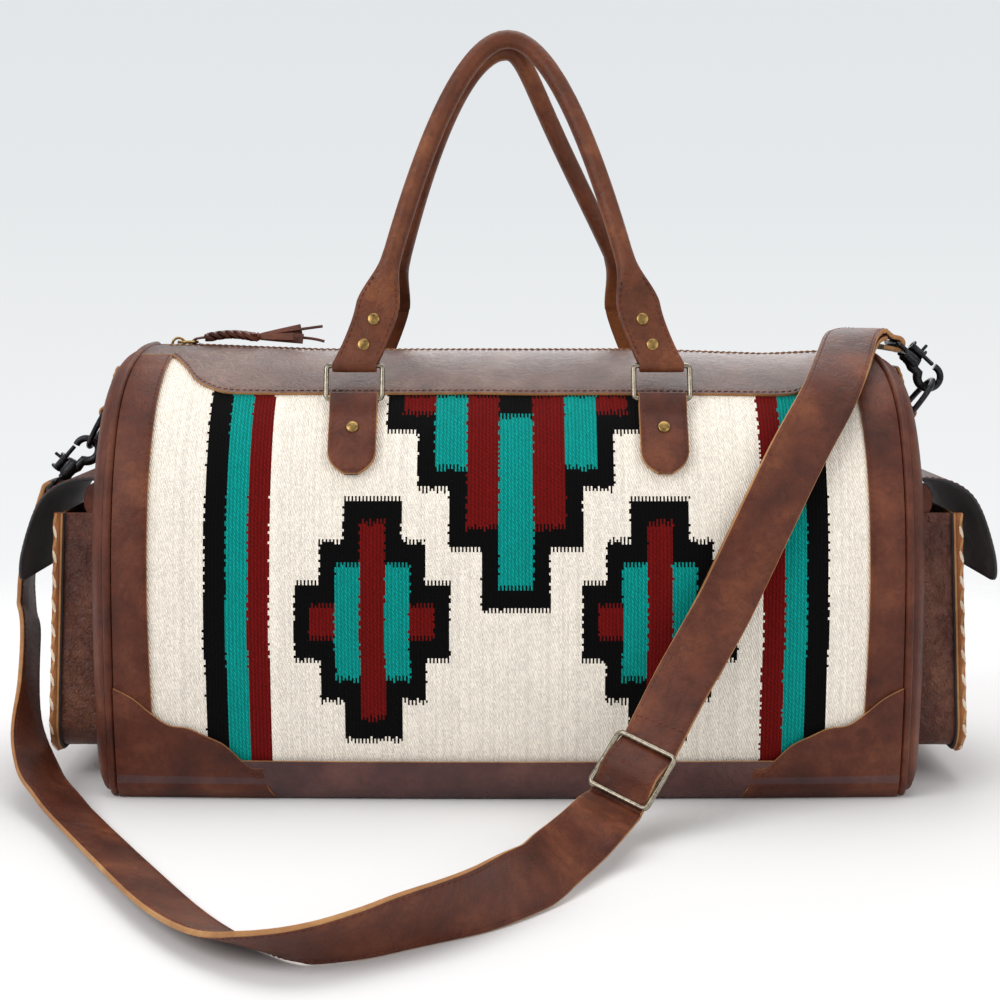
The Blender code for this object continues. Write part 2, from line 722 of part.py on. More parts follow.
def loft(name, stations, finish, sides=4, squareness=0.0, smooth=False):
    """A strap or rolled handle: (centre, across, normal) with half sizes and a section shape."""
    bm = bmesh.new()
    rows = []
    for centre, across, normal, half_width, half_thick, *shape in stations:
        power = shape[0] if shape else squareness
        row = []
        for k in range(sides):
            turn = 2 * math.pi * (k + 0.5) / sides
            c, s = math.cos(turn), math.sin(turn)
            if sides == 4:
                c, s = math.copysign(1, c), math.copysign(1, s)
            else:
                c = math.copysign(abs(c) ** power, c)
                s = math.copysign(abs(s) ** power, s)
            row.append(bm.verts.new(centre + across * (c * half_width) + normal * (s * half_thick)))
        rows.append(row)
    skin_rows(bm, rows)
    return add_object(name, bm, finish, smooth)


def along(points, normals_toward):
    """Unit tangents and normals of a path, the normals turned toward a rule."""
    found = []
    for i, point in enumerate(points):
        tangent = (points[min(i + 1, len(points) - 1)] - points[max(i - 1, 0)]).normalized()
        wish = normals_toward(i, point, tangent)
        across = tangent.cross(wish).normalized()
        found.append((tangent, across, across.cross(tangent).normalized()))
    return found


def dome(name, centre, normal, radius, height, finish, sides=8, sink=0.0006):
    """A round rivet head or stud that stands on a surface."""
    normal = Vector(normal).normalized()
    across = normal.orthogonal().normalized()
    other = normal.cross(across)
    bm = bmesh.new()
    rows = []
    for share, lift in ((1.0, -sink), (1.0, height * 0.3), (0.55, height)):
        row = []
        for k in range(sides):
            turn = 2 * math.pi * k / sides
            spoke = across * math.cos(turn) + other * math.sin(turn)
            row.append(bm.verts.new(centre + spoke * (radius * share) + normal * lift))
        rows.append(row)
    skin_rows(bm, rows)
    return add_object(name, bm, finish)


FLAP_HINGE_X = HALF_LENGTH + END_BULGE + 0.0020
FLAP_LINE = [(0.0, 0.0), (0.008, 0.0), (0.018, -0.0012), (0.0275, -0.0050), (0.0355, -0.0115),
             (0.0415, -0.0210), (0.0465, -0.0340), (0.0505, -0.0475), (0.0532, -0.0600),
             (0.0545, -0.0665), (0.0547, -0.0695)]


def flap(end):
    """The curled flap over an end pocket, with its button."""
    half = FLAP_WIDTH / 2
    line = [Vector((FLAP_HINGE_X - 0.0012 + a, 0, FLAP_ROOT_HEIGHT + b)) for a, b in FLAP_LINE]
    lengths = [0.0]
    for a, b in zip(line, line[1:]):
        lengths.append(lengths[-1] + (b - a).length)
    stations = []
    frames = along(line, lambda i, p, t: Vector((-t.z, 0, t.x)))
    for point, gone, (tangent, across, normal) in zip(line, lengths, frames):
        left = min(lengths[-1] - gone, FLAP_CORNER_RADIUS)
        shrink = FLAP_CORNER_RADIUS - math.sqrt(max(FLAP_CORNER_RADIUS ** 2
                                                    - (FLAP_CORNER_RADIUS - left) ** 2, 0))
        stations.append((point, across, normal, half - shrink * 0.9, LEATHER_THICKNESS / 2))
    if end == LEFT:
        stations = [(Vector((-c.x, c.y, c.z)), a, Vector((-n.x, n.y, n.z)), w, t)
                    for c, a, n, w, t in stations]
    name = f"{END_NAMES[end]}_flap"
    made = loft(name, stations, "leather")
    k = 6
    centre, _, normal, _, thick = stations[k]
    for offset_y in (-0.048, 0.048):
        stud = dome("stud", centre + Vector((0, offset_y, 0)) + normal * thick, normal, STUD_RADIUS,
                    0.0028, "leather", sides=10)
        made = unite(made, [stud])
    return made


# Handles, their rings and tabs
RING_PITCH = RING_HEIGHT - 2 * RING_WIRE_RADIUS
LOOP_RADIUS = RING_WIRE_RADIUS + RING_PLAY
TAB_LEVEL = WOVEN_THICKNESS + 3 * GAP
BAR_OFFSET = TAB_LEVEL + TAB_PLY + LOOP_RADIUS


def ring_bar(side):
    """The middle of the lower bar of the rings, on the plane x = 0."""
    best = min((abs(at_girth(g, BAR_OFFSET).y - RING_BAR_HEIGHT), g)
               for g in (girth_at(RING_BAR_HEIGHT - 0.0175) + 0.0002 * k for k in range(200)))
    girth = best[1]
    place = wrap(HANDLE_SPREAD, girth, BAR_OFFSET, side)
    return girth, Vector((0, place.y, place.z))


def handle_frame(side):
    """Origin on the lower bars' axis, the direction to the handle's top, and its outer normal."""
    _, bar = ring_bar(side)
    apex_y = side * (HANDLE_TUBE_RADIUS + 0.0006)
    rise = (Vector((0, apex_y, HANDLE_TOP - HANDLE_TUBE_RADIUS)) - bar)
    reach = rise.length
    rise.normalize()
    outward = Vector((0, side * rise.z, -side * rise.y))
    return bar, rise, outward, reach


def tab(side, end):
    """A leather tab folded round a ring's lower bar and riveted to the bag."""
    girth, bar = ring_bar(side)
    middle = Vector((end * HANDLE_SPREAD, 0, 0))
    back_level = TAB_LEVEL + TAB_PLY / 2
    front_level = back_level + TAB_PLY + GAP
    bottom = girth - TAB_LENGTH
    steps = 5
    points, wishes = [], []

    def on_form(at, level):
        place = wrap(middle.x, at, level, side)
        ahead = wrap(middle.x, at, level + 0.01, side)
        return place, (ahead - place).normalized()

    bends = {bottom + TAB_LENGTH * k / steps for k in range(steps + 1)}
    bends = sorted(bends | {g for g in GIRTHS if bottom + 0.002 < g < girth - 0.002})
    for at in bends:
        place, out = on_form(max(at, bottom + 0.003), back_level)
        points.append(place)
        wishes.append(-out)
    out = wishes[-1] * -1
    lift = Vector((0, -side * out.z, side * out.y)) * 1.0
    lift = lift if lift.z > 0 else -lift
    centre = middle + bar
    radius = LOOP_RADIUS + TAB_PLY / 2
    for k in range(1, 6):
        turn = math.radians(-90 + 180 * k / 6)
        spoke = out * math.sin(turn) + lift * math.cos(turn)
        points.append(centre + spoke * radius)
        wishes.append(spoke)
    points.append(centre + out * radius)
    wishes.append(out)
    for at in reversed([g for g in bends if g < girth - 0.004]):
        ease = max(0.0, 1 - (girth - at) / 0.014)
        at_level = front_level + (BAR_OFFSET + radius - front_level) * ease
        place, here = on_form(at, at_level)
        points.append(place)
        wishes.append(here)
    lengths = [0.0]
    for a, b in zip(points, points[1:]):
        lengths.append(lengths[-1] + (b - a).length)
    half = TAB_WIDTH / 2
    stations = []
    for i, (point, gone) in enumerate(zip(points, lengths)):
        left = min(gone, lengths[-1] - gone, half)
        width = math.sqrt(max(half ** 2 - (half - left) ** 2, (0.45 * half) ** 2))
        tangent = (points[min(i + 1, len(points) - 1)] - points[max(i - 1, 0)]).normalized()
        across = Vector((1, 0, 0))
        normal = tangent.cross(across).normalized()
        if normal.dot(wishes[i]) < 0:
            normal.negate()
        stations.append((point, across, normal, width, TAB_PLY / 2))
    name = f"{SIDE_NAMES[side]}_{END_NAMES[end]}_tab"
    made = loft(name, stations, "leather")
    place, out = on_form(girth_at(RING_BAR_HEIGHT - 0.017), front_level + TAB_PLY / 2)
    return unite(made, [dome("rivet", place, out, RIVET_RADIUS, RIVET_HEIGHT, "brass")])


def rounded_loop(width, height, radius, across, up, steps=2):
    """A closed path round a rectangle with round corners, its lower bar through the origin."""
    half = width / 2
    points = []
    for sign_x, sign_z, start in ((1, 0, -90), (1, 1, 0), (-1, 1, 90), (-1, 0, 180)):
        cx, cz = sign_x * (half - radius), (height - radius) if sign_z else radius
        for k in range(steps + 1):
            turn = math.radians(start + 90 * k / steps)
            points.append(across * (cx + radius * math.cos(turn)) + up * (cz + radius * math.sin(turn)))
    return points


def handle_ring(side, end):
    """A rectangular ring between a tab and a handle's end."""
    bar, rise, outward, _ = handle_frame(side)
    centre = Vector((end * HANDLE_SPREAD, 0, 0)) + bar
    path = rounded_loop(RING_WIDTH - 2 * RING_WIRE_RADIUS, RING_PITCH, RING_CORNER_RADIUS,
                        Vector((1, 0, 0)), rise)
    return tube(f"{SIDE_NAMES[side]}_{END_NAMES[end]}_ring", [centre + p for p in path],
                RING_WIRE_RADIUS, "nickel", closed=True, sides=6, up=outward)


ARCH_HALF = 0.0902
ARCH_DROP = 0.2093
ARCH_POWER = 1.9


def handle(side):
    """A rolled leather handle whose flat ends fold round the rings' upper bars."""
    bar, rise, outward, reach = handle_frame(side)
    origin = bar + rise * RING_PITCH
    apex = reach - RING_PITCH
    x_axis = Vector((1, 0, 0))
    ply, half_end = HANDLE_PLY, HANDLE_END_WIDTH / 2
    loop_radius = LOOP_RADIUS + ply / 2
    front_level = ply / 2 + GAP / 2
    stations = []

    def place(a, b, n):
        return origin + x_axis * a + rise * b + outward * n

    def leg_x(b):
        flare = 0.0092 * max(0.0, 1 - b / 0.035) ** 1.5
        return ARCH_HALF * ((apex - b) / ARCH_DROP) ** (1 / ARCH_POWER) + flare * 0.55

    def end_stations(end):
        """From the tail behind, round the bar and up the front to where the roll starts."""
        found = []
        join = HANDLE_SPREAD
        for b in (0.036, 0.026, 0.015, 0.008):
            share = max(0.0, 1 - b / 0.015)
            n = -(front_level + (loop_radius - front_level) * share)
            found.append((place(end * leg_x(b), b, n), -outward, half_end, ply / 2, 0.3))
        for k in range(7):
            turn = math.radians(-90 - 180 * k / 6)
            spoke = rise * math.cos(turn) + outward * math.sin(turn)
            found.append((place(end * join, 0, 0) + spoke * loop_radius, spoke, half_end, ply / 2, 0.3))
        for b in (0.008, 0.015, 0.026, 0.038):
            share = max(0.0, 1 - b / 0.015)
            n = front_level + (loop_radius - front_level) * share
            found.append((place(end * leg_x(b), b, n), outward, half_end, ply / 2, 0.3))
        tube_r = HANDLE_TUBE_RADIUS
        for b, width, thick, power in ((0.046, 0.0135, 0.0022, 0.4), (0.054, 0.0112, 0.0036, 0.6),
                                       (0.062, 0.0088, 0.0050, 0.8), (0.071, 0.0070, 0.0059, 0.95)):
            found.append((place(end * leg_x(b), b, max(0.0, front_level * (0.071 - b) / 0.033)),
                          outward, width, thick, power))
        return found

    tube_steps = 18
    limit = ARCH_HALF * ((apex - 0.082) / ARCH_DROP) ** (1 / ARCH_POWER)
    left = end_stations(LEFT)
    arch = []
    for k in range(tube_steps + 1):
        share = -1 + 2 * k / tube_steps
        a = limit * math.copysign(abs(share) ** 0.85, share)
        b = apex - ARCH_DROP * (abs(a) / ARCH_HALF) ** ARCH_POWER
        arch.append((place(a, b, 0), outward, HANDLE_TUBE_RADIUS, HANDLE_TUBE_RADIUS, 1.0))
    rough = left + arch + list(reversed(end_stations(RIGHT)))
    for i, (point, normal, width, thick, power) in enumerate(rough):
        before, after = rough[max(i - 1, 0)][0], rough[min(i + 1, len(rough) - 1)][0]
        tangent = (after - before).normalized()
        across = tangent.cross(normal).normalized()
        if thick <= ply / 2 + 1e-9:
            across = x_axis * (1 if across.x > 0 else -1)
        stations.append((point, across, across.cross(tangent).normalized(), width, thick, power))
    name = f"{SIDE_NAMES[side]}_handle"
    made = loft(name, stations, "leather", sides=8, smooth=True)
    heads = []
    for end in (LEFT, RIGHT):
        for b in (0.0135, 0.031):
            centre = place(end * leg_x(b), b, front_level + ply / 2)
            heads.append(dome("rivet", centre, outward, RIVET_RADIUS, RIVET_HEIGHT, "brass"))
    return unite(made, heads)


def foot(side, end):
    """A round metal foot under the base."""
    top = BASE_HEIGHT - WOVEN_THICKNESS - LEATHER_THICKNESS - 2 * GAP
    centre = Vector((end * FOOT_SPREAD_X, side * FOOT_SPREAD_Y, 0))
    sides = 14
    bm = bmesh.new()
    rows = []
    for share, height in ((1.0, top), (1.0, top * 0.5), (0.62, 0.0)):
        rows.append([bm.verts.new(centre + Vector((FOOT_RADIUS * share * math.cos(2 * math.pi * k / sides),
                                                   FOOT_RADIUS * share * math.sin(2 * math.pi * k / sides),
                                                   height))) for k in range(sides)])
    skin_rows(bm, rows)
    return add_object(f"{SIDE_NAMES[side]}_{END_NAMES[end]}_foot", bm, "brass", smooth=True)


# Zip slider and its pull
RIDGE_TOP = RIDGE_HEIGHT + WOVEN_THICKNESS
SLIDER_X = 0.0265 - HALF_LENGTH
BRIDGE_HEIGHT = 0.0042
PULL_AXIS = Vector((SLIDER_X, 0, RIDGE_TOP + GAP + SLIDER_THICKNESS + 0.00135))


def box(name, low, high, finish):
    """A plain block between two corners."""
    bm = bmesh.new()
    bmesh.ops.create_cube(bm, size=1)
    for vert in bm.verts:
        vert.co = Vector([low[i] + (high[i] - low[i]) * (vert.co[i] + 0.5) for i in range(3)])
    return add_object(name, bm, finish)


def zip_slider():
    """The slider's shell on top of the teeth, with the bridge that holds the pull."""
    low = RIDGE_TOP + GAP
    bm = bmesh.new()
    rows = []
    half_length, half_width = SLIDER_LENGTH / 2, SLIDER_WIDTH / 2
    for lift, shrink in ((0.0, 0.0), (SLIDER_THICKNESS * 0.6, 0.0), (SLIDER_THICKNESS, 0.0008)):
        row = []
        for a, b in ((-1, -0.55), (-0.6, -1), (0.6, -1), (1, -0.75), (1, 0.75), (0.6, 1), (-0.6, 1), (-1, 0.55)):
            row.append(bm.verts.new((SLIDER_X + a * (half_length - shrink), b * (half_width - shrink), low + lift)))
        rows.append(row)
    skin_rows(bm, rows)
    made = add_object("zip_slider", bm, "brass")
    path = []
    for k in range(9):
        turn = math.radians(180 * k / 8)
        path.append(Vector((SLIDER_X - 0.0045 * math.cos(turn), 0,
                            low + SLIDER_THICKNESS - 0.0005 + (BRIDGE_HEIGHT + 0.0005) * math.sin(turn))))
    return unite(made, [tube("bridge", path, 0.0009, "brass", sides=6, up=(0, 1, 0), smooth=False)])


def zip_pull_ring():
    """The wire ring through the slider's bridge, lying along the zip."""
    centre = PULL_AXIS + Vector((PULL_RING_RADIUS, 0, 0))
    path = [centre + Vector((-PULL_RING_RADIUS * math.cos(2 * math.pi * k / 16),
                             PULL_RING_RADIUS * 0.8 * math.sin(2 * math.pi * k / 16), 0))
            for k in range(16)]
    return tube("zip_pull_ring", path, PULL_WIRE_RADIUS, "brass", closed=True, sides=6, up=(0, 0, 1))


def zip_braid():
    """The plaited leather pull: a loop through the ring, a plait, and a tassel."""
    start = PULL_AXIS + Vector((2 * PULL_RING_RADIUS, 0, 0))
    radius = PULL_WIRE_RADIUS + 0.0003 + 0.0011
    stations = []
    for k in range(7):
        turn = math.radians(-60 - 240 * k / 6)
        spoke = Vector((math.cos(turn), 0, math.sin(turn)))
        stations.append((start + spoke * radius, Vector((0, 1, 0)), spoke, 0.0022, 0.0011, 0.8))
    plait_length, bumps = 0.034, 4
    for k in range(4 * bumps + 1):
        share = k / (4 * bumps)
        swell = 1 + 0.16 * math.sin(2 * math.pi * bumps * share)
        centre = start + Vector((0.0075 + plait_length * share, 0, radius + 0.0006))
        stations.append((centre, Vector((0, 1, 0)), Vector((0, 0, 1)), 0.0040 * swell, 0.0026 * swell, 0.8))
    tail = BRAID_LENGTH - plait_length
    for share, width in ((0.06, 0.0028), (0.12, 0.0042), (0.4, 0.0052), (0.75, 0.0046), (1.0, 0.0024)):
        centre = start + Vector((0.0075 + plait_length + tail * share, 0, radius + 0.0006))
        stations.append((centre, Vector((0, 1, 0)), Vector((0, 0, 1)), width, 0.0016, 0.5))
    return loft("zip_braid", stations, "leather", sides=8, smooth=True)


# D-rings, hooks and the strap
class HookSide:
    """The places of one end's D-ring, hook and swivel."""

    def __init__(self, end, ring_direction, hook_direction):
        self.end = end
        self.bar = Vector((end * (HALF_LENGTH + D_RING_STAND), 0, D_RING_BAR_HEIGHT))
        self.ring_direction = Vector(ring_direction).normalized()
        self.bow = self.bar + self.ring_direction * D_RING_DEPTH
        self.axis = Vector(hook_direction).normalized()
        slack = HOOK_EYE_RADIUS - HOOK_WIRE_RADIUS - D_RING_WIRE_RADIUS - GAP
        self.eye = self.bow + self.axis * slack
        self.side = self.axis.cross(Vector((0, 1, 0))).normalized()
        self.swivel = self.eye + self.axis * HOOK_REACH


HOOKS = {
    LEFT: HookSide(LEFT, (-0.50, 0, -0.866), (-0.66, 0, -0.751)),
    RIGHT: HookSide(RIGHT, (0.62, 0, 0.785), (-0.739, 0, 0.673)),
}


def end_surface(height, lift):
    """A place on the middle line of an end panel's outer face, lifted off it; +X end."""
    middle = (RIDGE_HEIGHT + BASE_HEIGHT) / 2
    reach = RIDGE_HEIGHT + WOVEN_THICKNESS - middle
    inset = min(1.0, (middle + reach - height) / reach / (1 - END_FLAT_SHARE))
    start = HALF_LENGTH + SEAM_MARGIN - RIDGE_END_PULL
    run = HALF_LENGTH + END_BULGE - start
    rise = math.sqrt(1 - (1 - inset) ** 2)
    slope = run * (1 - inset) / max(rise, 0.2) / ((1 - END_FLAT_SHARE) * reach)
    normal = Vector((1, 0, slope)).normalized()
    return Vector((start + run * rise, 0, height)) + normal * lift


def d_ring_tab(end):
    """The leather tab that holds a D-ring on the bag's end."""
    hook = HOOKS[RIGHT]
    bar = Vector((hook.bar.x, 0, hook.bar.z))
    loop_radius = D_RING_WIRE_RADIUS + RING_PLAY + TAB_PLY / 2
    heights = [D_RING_BAR_HEIGHT + lift for lift in (0.0295, 0.0225, 0.0155, 0.0085)]
    back = TAB_PLY / 2 + 2 * GAP
    path = [end_surface(z, back) for z in heights]
    for k in range(7):
        turn = math.radians(200 + 210 * k / 6)
        path.append(bar + Vector((math.cos(turn), 0, math.sin(turn))) * loop_radius)
    path += [end_surface(z, back + TAB_PLY + GAP) for z in reversed(heights)]
    stations = []
    y_axis = Vector((0, 1, 0))
    for i, point in enumerate(path):
        tangent = (path[min(i + 1, len(path) - 1)] - path[max(i - 1, 0)]).normalized()
        stations.append((point, y_axis, tangent.cross(y_axis).normalized(), 0.0135, TAB_PLY / 2))
    if end == LEFT:
        flip = Matrix.Diagonal((-1, 1, 1))
        stations = [(flip @ c, a, flip @ n, w, t) for c, a, n, w, t in stations]
    made = loft(f"{END_NAMES[end]}_d_ring_tab", stations, "leather")
    rivet_height = D_RING_BAR_HEIGHT + 0.019
    head = end_surface(rivet_height, back + TAB_PLY * 1.5 + GAP)
    out = end_surface(rivet_height, 1.0) - end_surface(rivet_height, 0.0)
    head.x, out.x = end * head.x, end * out.x
    return unite(made, [dome("rivet", head, out, RIVET_RADIUS, RIVET_HEIGHT, "brass")])


def d_ring(end):
    """A D-ring: a straight bar in the tab and a bow in the hook."""
    hook = HOOKS[end]
    half = D_RING_WIDTH / 2 - D_RING_WIRE_RADIUS
    y_axis = Vector((0, 1, 0))
    path = []
    steps = 14
    for k in range(steps + 1):
        turn = math.pi * k / steps
        path.append(hook.bar + y_axis * (half * math.cos(turn))
                    + hook.ring_direction * (D_RING_DEPTH * math.sin(turn) ** 0.8))
    corner = [hook.bar + y_axis * (-half + 0.004), hook.bar + y_axis * (half - 0.004)]
    path = path + corner
    normal = hook.ring_direction.cross(y_axis)
    return tube(f"{END_NAMES[end]}_d_ring", path, D_RING_WIRE_RADIUS, "gunmetal", closed=True, sides=8, up=normal)


BARREL_RADIUS = 0.0046
BARREL_START, BARREL_END = 0.0125, 0.0245
BOLT_RADIUS = 0.0015
STEM_RADIUS, STEM_LENGTH = 0.0018, 0.0065
GUIDE_LENGTH = 0.0018


def hook_place(hook, down, aside, y=0.0):
    """A place on a hook: down its axis from the eye's centre, and aside from the axis."""
    return hook.eye + hook.axis * down + hook.side * aside + Vector((0, y, 0))


def turned(name, hook, aside, sides, profile, closed=False):
    """A turned piece round a hook's axis, or round a line beside it, from (down, radius) points."""
    y_axis = Vector((0, 1, 0))
    bm = bmesh.new()
    rows = []
    for down, radius in profile:
        centre = hook_place(hook, down, aside)
        rows.append([bm.verts.new(centre + (hook.side * math.cos(2 * math.pi * k / sides)
                                            + y_axis * math.sin(2 * math.pi * k / sides)) * radius)
                     for k in range(sides)])
    skin_rows(bm, rows, closed)
    return add_object(name, bm, "gunmetal", smooth=True)


def snap_hook(end):
    """A snap hook: a barrel with a slot for the thumb stud, and a curved jaw."""
    hook = HOOKS[end]
    wire, eye = HOOK_WIRE_RADIUS, HOOK_EYE_RADIUS
    shift = 1.0
    jaw = []
    for k in range(15):
        turn = math.radians(250 - 265 * k / 14)
        jaw.append(hook_place(hook, -eye * math.sin(turn), shift * -eye * math.cos(turn)))
    first = hook_place(hook, BARREL_START + 0.002, shift * 0.0028)
    jaw = [first] + jaw
    bore = STEM_RADIUS + GAP
    made = turned(f"{END_NAMES[end]}_hook", hook, 0.0, 12,
                  [(BARREL_START, 0.0034), (BARREL_START + 0.001, BARREL_RADIUS),
                   (BARREL_END - 0.0008, BARREL_RADIUS), (BARREL_END, 0.0042), (BARREL_END, bore),
                   (BARREL_END - STEM_LENGTH - GAP, bore)])
    aside = -HOOK_EYE_RADIUS
    inner, outer = BOLT_RADIUS + GAP, 0.0040
    guides = [turned("guide", hook, aside, 12, [(down, inner), (down, outer), (down + GUIDE_LENGTH, outer),
                                                (down + GUIDE_LENGTH, inner)], closed=True)
              for down in (BARREL_START + 0.0002, BARREL_END - GUIDE_LENGTH)]
    jaw = tube("jaw", jaw, wire, "gunmetal", sides=8, up=(0, 1, 0), smooth=False)
    return unite(made, [jaw] + guides)


def hook_bolt(end):
    """The sprung bolt that shuts a hook's jaw, with its thumb stud."""
    hook = HOOKS[end]
    shift = -1.0
    aside = shift * (HOOK_EYE_RADIUS)
    tip = hook_place(hook, 0.0036, aside)
    low = hook_place(hook, BARREL_END - 0.0012, aside)
    made = tube(f"{END_NAMES[end]}_hook_bolt", [tip, low], BOLT_RADIUS, "gunmetal", sides=8, up=(0, 1, 0))
    stud = tube("stud", [hook_place(hook, 0.0160, aside + shift * 0.0003),
                         hook_place(hook, 0.0162, aside + shift * 0.0072)],
                0.0012, "gunmetal", sides=6, up=(0.1, 1, 0.07), smooth=False)
    return unite(made, [stud])


def swivel_eye(end):
    """The wide eye below a hook, which turns in the barrel's end and carries the strap."""
    hook = HOOKS[end]
    y_axis = Vector((0, 1, 0))
    wire = SWIVEL_WIRE_RADIUS
    top = BARREL_END + GAP
    width, height = STRAP_WIDTH + 0.0075, HOOK_REACH - top - 0.0022
    path = [hook.swivel + p for p in rounded_loop(width, height, 0.0035, y_axis, -hook.axis)]
    made = tube(f"{END_NAMES[end]}_swivel_eye", path, wire, "gunmetal", closed=True, sides=8, up=hook.side)
    stem = turned("stem", hook, 0.0, 10, [(BARREL_END - STEM_LENGTH, STEM_RADIUS), (top, STEM_RADIUS),
                                          (top, 0.0034), (HOOK_REACH - height + 0.0002, 0.0034)])
    return unite(made, [stem])


SLIDER_CENTRE = Vector((0.0745, -0.2040, 0.0400))
SLIDER_UP = Vector((0.315, 0.560, 0.766)).normalized()
SLIDER_ACROSS = Vector((0.870, -0.480, -0.005))


def slider_frame():
    """Unit directions of the slider buckle: along the strap, across it, and outward."""
    across = (SLIDER_ACROSS - SLIDER_UP * SLIDER_ACROSS.dot(SLIDER_UP)).normalized()
    return SLIDER_UP, across, across.cross(SLIDER_UP).normalized()


def strap_slider():
    """The three-bar slider that sets the strap's length."""
    up, across, _ = slider_frame()
    out = across.cross(up)
    width, height = SLIDER_FRAME
    start = SLIDER_CENTRE - up * (height / 2 - SLIDER_WIRE_RADIUS)
    path = [start + p for p in rounded_loop(width - 2 * SLIDER_WIRE_RADIUS, height - 2 * SLIDER_WIRE_RADIUS,
                                            0.003, across, up)]
    made = tube("strap_slider", path, SLIDER_WIRE_RADIUS, "nickel", closed=True, sides=8, up=out)
    half = width / 2 - SLIDER_WIRE_RADIUS
    bar = tube("bar", [SLIDER_CENTRE - across * half, SLIDER_CENTRE + across * half], SLIDER_WIRE_RADIUS * 0.9,
               "nickel", sides=8, up=out, smooth=False)
    return unite(made, [bar])


# The strap's route: place, and the direction across its width
STRAP_FLOOR_ROUTE = [
    ((-0.3290, 0.0000, 0.1745), (0.00, 1.00, 0.00)),
    ((-0.3335, 0.0000, 0.1560), (0.00, 1.00, 0.00)),
    ((-0.3378, -0.0040, 0.1310), (0.00, 1.00, -0.02)),
    ((-0.3362, -0.0135, 0.1100), (0.00, 0.98, -0.04)),
    ((-0.3309, -0.0280, 0.0915), (0.00, 0.97, -0.05)),
    ((-0.3212, -0.0740, 0.0440), (0.06, 0.97, -0.08)),
    ((-0.3030, -0.1240, 0.0205), (0.34, 0.92, -0.16)),
    ((-0.2810, -0.1640, 0.0115), (0.64, 0.70, -0.26)),
    ((-0.2604, -0.2000, 0.0072), (0.82, 0.48, -0.28)),
    ((-0.2186, -0.2811, 0.0070), (0.88, 0.37, -0.28)),
    ((-0.1784, -0.3566, 0.0070), (0.84, 0.46, -0.28)),
    ((-0.1513, -0.3980, 0.0078), (0.70, 0.64, -0.33)),
    ((-0.1329, -0.4180, 0.0096), (0.42, 0.80, -0.43)),
    ((-0.1152, -0.4325, 0.0127), (0.05, 0.82, -0.60)),
    ((-0.0980, -0.4365, 0.0150), (0.00, 0.67, -0.74)),
    ((-0.0738, -0.4270, 0.0160), (0.08, 0.57, -0.81)),
    ((-0.0512, -0.4104, 0.0166), (0.16, 0.50, -0.85)),
    ((-0.0157, -0.3800, 0.0169), (0.32, 0.36, -0.87)),
    ((0.0122, -0.3400, 0.0168), (0.54, 0.08, -0.82)),
    ((0.0258, -0.3111, 0.0185), (0.68, -0.10, -0.68)),
    ((0.0404, -0.2789, 0.0205), (0.78, -0.27, -0.46)),
    ((0.0526, -0.2537, 0.0245), (0.85, -0.40, -0.22)),
]
STRAP_FRONT_ROUTE = [
    ((0.1050, -0.1720, 0.0830), (-0.90, 0.30, 0.25)),
    ((0.1200, -0.1600, 0.1060), (-0.90, 0.18, 0.36)),
    ((0.1350, -0.1500, 0.1300), (-0.885, 0.08, 0.44)),
    ((0.1480, -0.1430, 0.1550), (-0.88, 0.04, 0.47)),
    ((0.1600, -0.1395, 0.1800), (-0.88, 0.04, 0.47)),
    ((0.1840, -0.1235, 0.2250), (-0.86, 0.12, 0.49)),
    ((0.2060, -0.1015, 0.2590), (-0.88, 0.20, 0.43)),
    ((0.2205, -0.0700, 0.2810), (-0.90, 0.36, 0.24)),
    ((0.2310, -0.0380, 0.2945), (-0.90, 0.42, 0.10)),
    ((0.2395, -0.0160, 0.2990), (-0.80, 0.60, 0.03)),
    ((0.2490, -0.0050, 0.3000), (-0.58, 0.81, 0.0)),
    ((0.2570, -0.0010, 0.2985), (-0.25, 0.97, 0.0)),
]


def smooth_route(route, steps):
    """Catmull-Rom points and across directions through a route."""
    places = [Vector(p) for p, _ in route]
    widths = [Vector(w).normalized() for _, w in route]

    def blend(values, i, t):
        a, b = values[max(i - 1, 0)], values[i]
        c, d = values[i + 1], values[min(i + 2, len(values) - 1)]
        return 0.5 * (2 * b + (c - a) * t + (2 * a - 5 * b + 4 * c - d) * t * t
                      + (3 * b - a - 3 * c + d) * t * t * t)

    found = []
    for i in range(len(route) - 1):
        for k in range(steps):
            found.append((blend(places, i, k / steps), blend(widths, i, k / steps).normalized()))
    found.append((places[-1], widths[-1]))
    return found


def fold(bar, lead, out, gone):
    """Places of a strap's centre as it comes to a bar, folds round it and lies behind itself."""
    ring = SWIVEL_WIRE_RADIUS + 0.0006 + STRAP_THICKNESS / 2
    path = [bar + lead * g + out * ring for g in gone]
    for k in range(7):
        turn = math.radians(90 - 180 * k / 6)
        path.append(bar - lead * (ring * math.cos(turn)) + out * (ring * math.sin(turn)))
    return path + [bar + lead * g - out * ring for g in (0.004, 0.009)]


